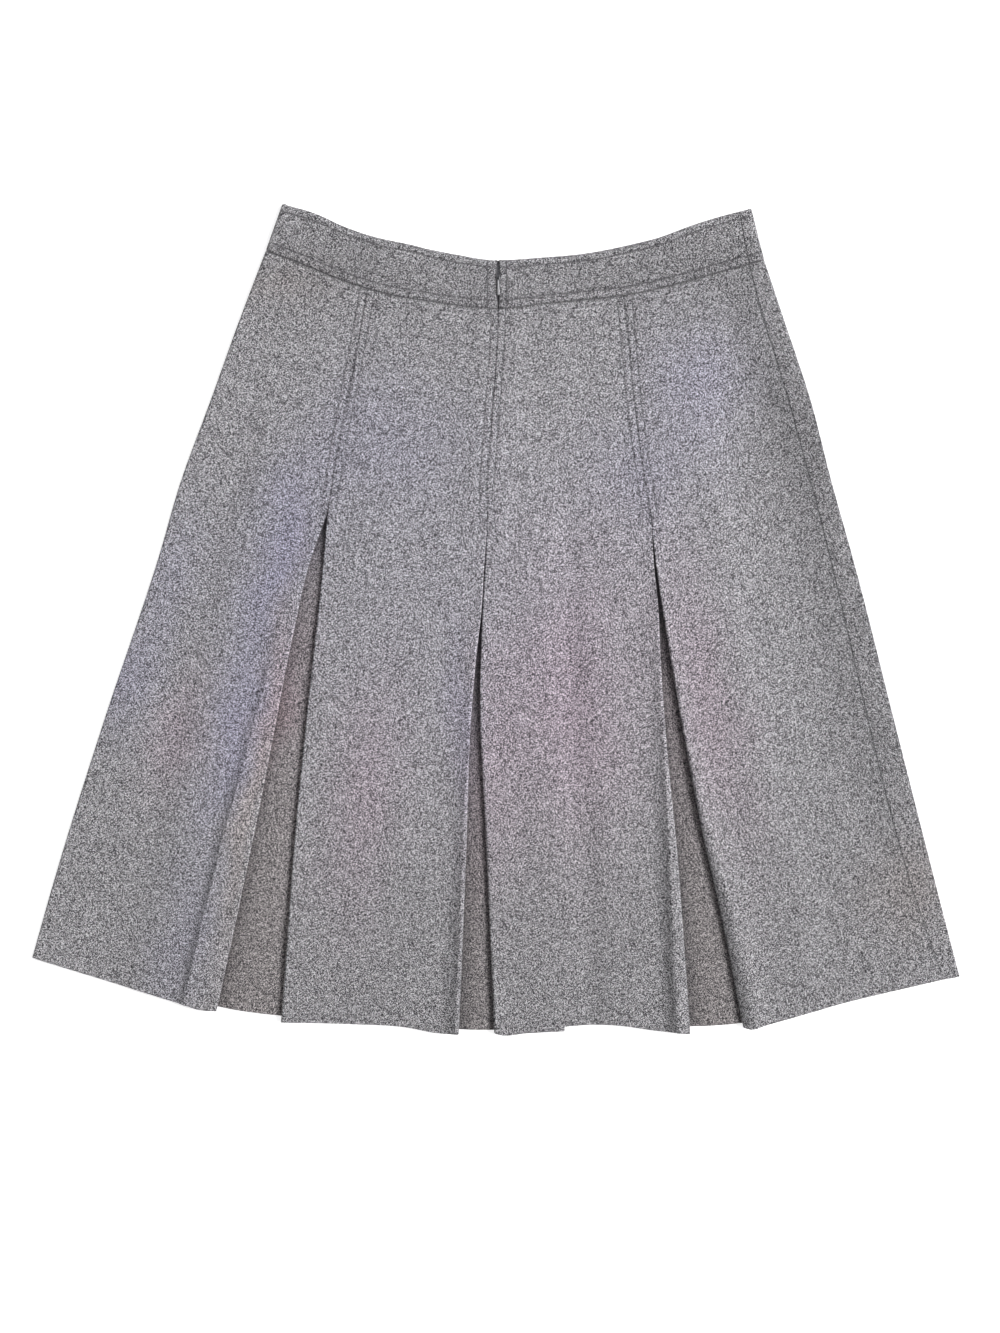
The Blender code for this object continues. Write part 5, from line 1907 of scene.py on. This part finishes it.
@dataclass
class ZipPull:
    """The pull: a slim drop of metal, thickest along its middle, with an eye for the slider's arch."""

    name: str = "zip_pull_drop"
    hinge: tuple[float, float, float] = (1.8, 291.5, 7.4)
    start: float = -3.1
    tip: float = -17.0
    half_neck: float = 0.95
    half_width: float = 1.35
    half_depth: float = 0.4
    eye_half: float = 1.1
    eye_far: float = -3.7
    eye_power: float = 0.6
    bar: float = 0.34

    def drop(self) -> tuple[Array, Array]:
        """The drop: flattened round sections along it, which close in steeply at both ends.

        Returns:
            Its points and its quads.
        """
        t = np.linspace(0.0, 1.0, 25)
        y = self.start + (self.tip - self.start) * t
        ends = 1.0 - ((t - 0.5) / 0.5) ** 8
        widening = self.half_neck + (self.half_width - self.half_neck) * smoothstep((t - 0.2) / 0.6)
        width = widening * np.sqrt(np.clip(ends, 0.0025, 1.0))
        depth = self.half_depth * np.sqrt(np.clip(ends, 0.01, 1.0))
        angle = circle(16)
        points = np.stack([
            width[:, None] * np.cos(angle)[None, :],
            np.broadcast_to(y[:, None], (len(t), len(angle))),
            depth[:, None] * np.sin(angle)[None, :],
        ], axis=-1)
        index = np.arange(points[..., 0].size).reshape(points.shape[:2])
        fan, last = np.arange(len(angle) // 2 - 1), len(angle) - 1
        corners = (fan, fan + 1, last - 1 - fan, last - fan)
        caps = (np.stack([row[corner] for corner in corners], axis=-1) for row in (index[0], index[-1, ::-1]))
        return points.reshape(-1, 3), np.concatenate([tube_walls(index), *caps])

    def eye(self) -> tuple[Array, Array]:
        """The eye: a round bar round a long loop, which is squarer than an ellipse.

        Returns:
            Its points and its quads.
        """
        cosine, sine = np.cos(circle(32)), np.sin(circle(32))
        loop = np.stack([
            self.eye_half * np.sign(cosine) * np.abs(cosine) ** self.eye_power,
            self.eye_far / 2 * (1.0 - np.sign(sine) * np.abs(sine) ** self.eye_power),
            np.zeros_like(sine),
        ], axis=-1)
        tangent = np.roll(loop, -1, axis=0) - np.roll(loop, 1, axis=0)
        tangent /= np.linalg.norm(tangent, axis=1, keepdims=True)
        up = np.array((0.0, 0.0, 1.0))
        out = np.cross(tangent, up)
        angle = circle(8)[None, :, None]
        points = loop[:, None] + self.bar * (np.cos(angle) * out[:, None] + np.sin(angle) * up)
        index = np.arange(points[..., 0].size).reshape(points.shape[:2])
        return points.reshape(-1, 3), tube_walls(np.concatenate([index, index[:1]]))

    def build(self) -> bpy.types.Object:
        """Joins the drop and the eye, at the hinge."""
        drop_points, drop_quads = self.drop()
        eye_points, eye_quads = self.eye()
        points = np.concatenate([drop_points, eye_points]) + np.array(self.hinge)
        return mesh_object(self.name, points, np.concatenate([drop_quads, eye_quads + len(drop_points)]))


@dataclass
class Studio:
    """The floor, the lights and the camera, straight above as in the photograph."""

    view_centre: Point = (3.4, -39.95)
    view_height: float = 1133.0
    camera_height: float = 2600.0
    sensor_height: float = 24.0
    key_place: tuple[float, float, float] = (8250.0, 1250.0, 6750.0)
    key_size: float = 6500.0
    key_power: float = 1600.0
    sky: float = 0.42
    floor_half_width: float = 30000.0
    floor_height: float = -0.05

    def camera(self) -> None:
        """Puts the camera above the middle of the picture, looking straight down with +Y up."""
        data = bpy.data.cameras.new("overhead")
        data.sensor_fit = "VERTICAL"
        data.sensor_height = self.sensor_height
        data.lens = data.sensor_height * self.camera_height / self.view_height
        made = bpy.data.objects.new("overhead", data)
        made.location = (self.view_centre[0] * MM, self.view_centre[1] * MM, self.camera_height * MM)
        bpy.context.scene.collection.objects.link(made)
        bpy.context.scene.camera = made

    def lights(self) -> None:
        """Sets a soft light low from the right and an even pale sky."""
        data = bpy.data.lights.new("key", "AREA")
        data.shape = "DISK"
        data.size = self.key_size * MM
        data.energy = self.key_power
        made = bpy.data.objects.new("key", data)
        made.location = [part * MM for part in self.key_place]
        x, y, z = self.key_place
        made.rotation_euler = (0.0, math.atan2(math.hypot(x, y), z), math.atan2(y, x))
        bpy.context.scene.collection.objects.link(made)
        world = bpy.data.worlds.new("sky")
        world.use_nodes = True
        background = world.node_tree.nodes["Background"]
        background.inputs["Color"].default_value = (1.0, 1.0, 1.0, 1.0)
        background.inputs["Strength"].default_value = self.sky
        bpy.context.scene.world = world

    def floor(self) -> None:
        """Lays a wide plain floor just under the skirt."""
        corners = np.array(((-1, -1), (1, -1), (1, 1), (-1, 1)), float) * self.floor_half_width
        points = np.column_stack([corners, np.full(4, self.floor_height)])
        made = mesh_object("floor", points, np.array([[0, 1, 2, 3]]))
        made.data.materials.append(FloorFinish().build())

    def build(self) -> None:
        """Sets up the whole stage, and plain colour management."""
        self.camera()
        self.lights()
        self.floor()
        bpy.context.scene.view_settings.view_transform = "Standard"
        log.info("stage set")


@dataclass(frozen=True)
class Cut:
    """The flat size of a piece of cloth as far as it is modelled: metres, and square metres."""

    width: float
    length: float
    area: float


# The back panels' hems.
PANELS = (
    ("back_side_panel_left", HEM_SIDE_LEFT),
    ("back_centre_panel_left", HEM_CENTRE_LEFT),
    ("back_centre_panel_right", HEM_CENTRE_RIGHT),
    ("back_side_panel_right", HEM_SIDE_RIGHT),
)
# Each fold's pleat and side, then its lift, roll, roll_power, reach, drop, hem_rise and crest.
FOLDS = (
    (LEFT_PLEAT, Side.LEFT, 3.8, 28.0, 0.5, 8.5, 0.4, 2.5, 0.8),
    (LEFT_PLEAT, Side.RIGHT, 1.0, 1.5, 0.3, 26.0, 0.3, 2.5, 0.0),
    (CENTRE_PLEAT, Side.LEFT, 4.8, 3.0, 0.3, 15.0, 0.2, 2.5, 0.0),
    (CENTRE_PLEAT, Side.RIGHT, 1.6, 3.0, 0.3, 26.0, 0.4, -4.3, 0.0),
    (RIGHT_PLEAT, Side.LEFT, 6.4, 10.5, 1.3, 14.0, 0.42, 2.5, 0.0),
    (RIGHT_PLEAT, Side.RIGHT, 5.4, 12.0, 1.6, 24.0, 0.95, 2.5, 0.0),
)
# The underlays' hems, and their shadow beside the right fold.
UNDERLAYS = (
    ("pleat_underlay_left", HEM_UNDERLAY_LEFT, 0.12),
    ("pleat_underlay_centre", HEM_UNDERLAY_CENTRE, 0.75),
    ("pleat_underlay_right", HEM_UNDERLAY_RIGHT, 0.9),
)


@dataclass
class Skirt:
    """The whole skirt: its panels, underlays, waistband, stitching and zip."""

    wool: WoolFinish = WoolFinish("heathered_wool")
    # The underlays' wool is darker and browner: painted shade for the pleats' openings that they lie in.
    inside: WoolFinish = WoolFinish("heathered_wool_inside", cast=(0.88, 0.83, 0.80, 1.0))
    band: WoolFinish = WoolFinish("heathered_wool_band", cast=(0.92, 0.92, 0.92, 1.0))

    def panels(self) -> list[Panel]:
        """The four back panels, whose ends are the left side fold, the pleats' six folds and the side seam.

        Returns:
            The panels, from left to right.
        """
        ends: list[PanelEnd] = [WrapEnd()]
        for place, row in enumerate(FOLDS, 1):
            fold = Fold(*row)
            side = Side.RIGHT if fold.side is Side.LEFT else Side.LEFT
            ends.append(PleatEnd(fold, side, PANELS[place // 2][1]))
        ends.append(SeamEnd())
        rows = zip(PANELS, ends[::2], ends[1::2])
        return [Panel(name, hem, left, right) for (name, hem), left, right in rows]

    def underlays(self, panels: list[Panel]) -> list[Underlay]:
        """The three underlays, each between the ends of the panels beside its pleat."""
        rows = zip(UNDERLAYS, panels, panels[1:])
        return [Underlay(name, hem, left.right, right.left, dark) for (name, hem, dark), left, right in rows]

    def dress(
        self, piece: bpy.types.Object, material: bpy.types.Material, body: str = SKIRT_BODY,
    ) -> None:
        """Gives a piece its material and its body."""
        piece.data.materials.append(material)
        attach(piece, body)

    def build(self, nodes: dict[str, bpy.types.Object]) -> None:
        """Makes every piece of the skirt and reports it.

        Args:
            nodes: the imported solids' objects, by name.
        """
        wool, inside, band_wool = self.wool.build(), self.inside.build(), self.band.build()
        panels = self.panels()
        stitches = Stitches("topstitching")
        bands = (FrontBand(), BackBandLeft(), BackBandRight())
        cloth = [
            *((panel, wool, "wool") for panel in panels),
            (FrontPanel(), wool, "wool"),
            *((underlay, inside, "wool_inside") for underlay in self.underlays(panels)),
            *((band, band_wool, "wool") for band in bands),
        ]
        for maker, material, slot in cloth:
            grid = maker.grid()
            piece = grid.shell(maker.name + "_cloth")
            self.dress(piece, material)
            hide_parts(maker.name)
            log.info("%s: %d faces", piece.name, len(piece.data.polygons))
        for maker in (*panels, *bands):
            for path in maker.stitch_paths():
                stitches.add(path)
        self.dress(stitches.build(), ThreadFinish().build())
        self.zip(nodes)

    def zip(self, nodes: dict[str, bpy.types.Object]) -> None:
        """Dresses the zip's tape and slider, and makes its coil and its pull."""
        dark = MetalFinish("zip_metal_dark", (0.10, 0.10, 0.11, 1.0), (0.24, 0.24, 0.26, 1.0), 0.35).build()
        satin = MetalFinish("zip_metal_satin", (0.20, 0.20, 0.21, 1.0), (0.34, 0.34, 0.35, 1.0), 0.5).build()
        tape = TapeFinish().build()
        for name, material in (("zip_tape", tape), ("zip_slider", dark)):
            nodes[name].data.materials.clear()
            nodes[name].data.materials.append(material)
        self.dress(ZipCoil().build(), tape)
        pull = ZipPull().build()
        self.dress(pull, satin, PULL_BODY)
        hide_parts("zip_pull")
        log.info("zip dressed")


def main() -> None:
    """Loads the frame, and builds the stage and the skirt."""
    logging.basicConfig(level=logging.INFO, format="%(message)s")
    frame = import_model()
    Studio().build()
    Skirt().build(frame["nodes"])


if __name__ == "__main__":
    main()
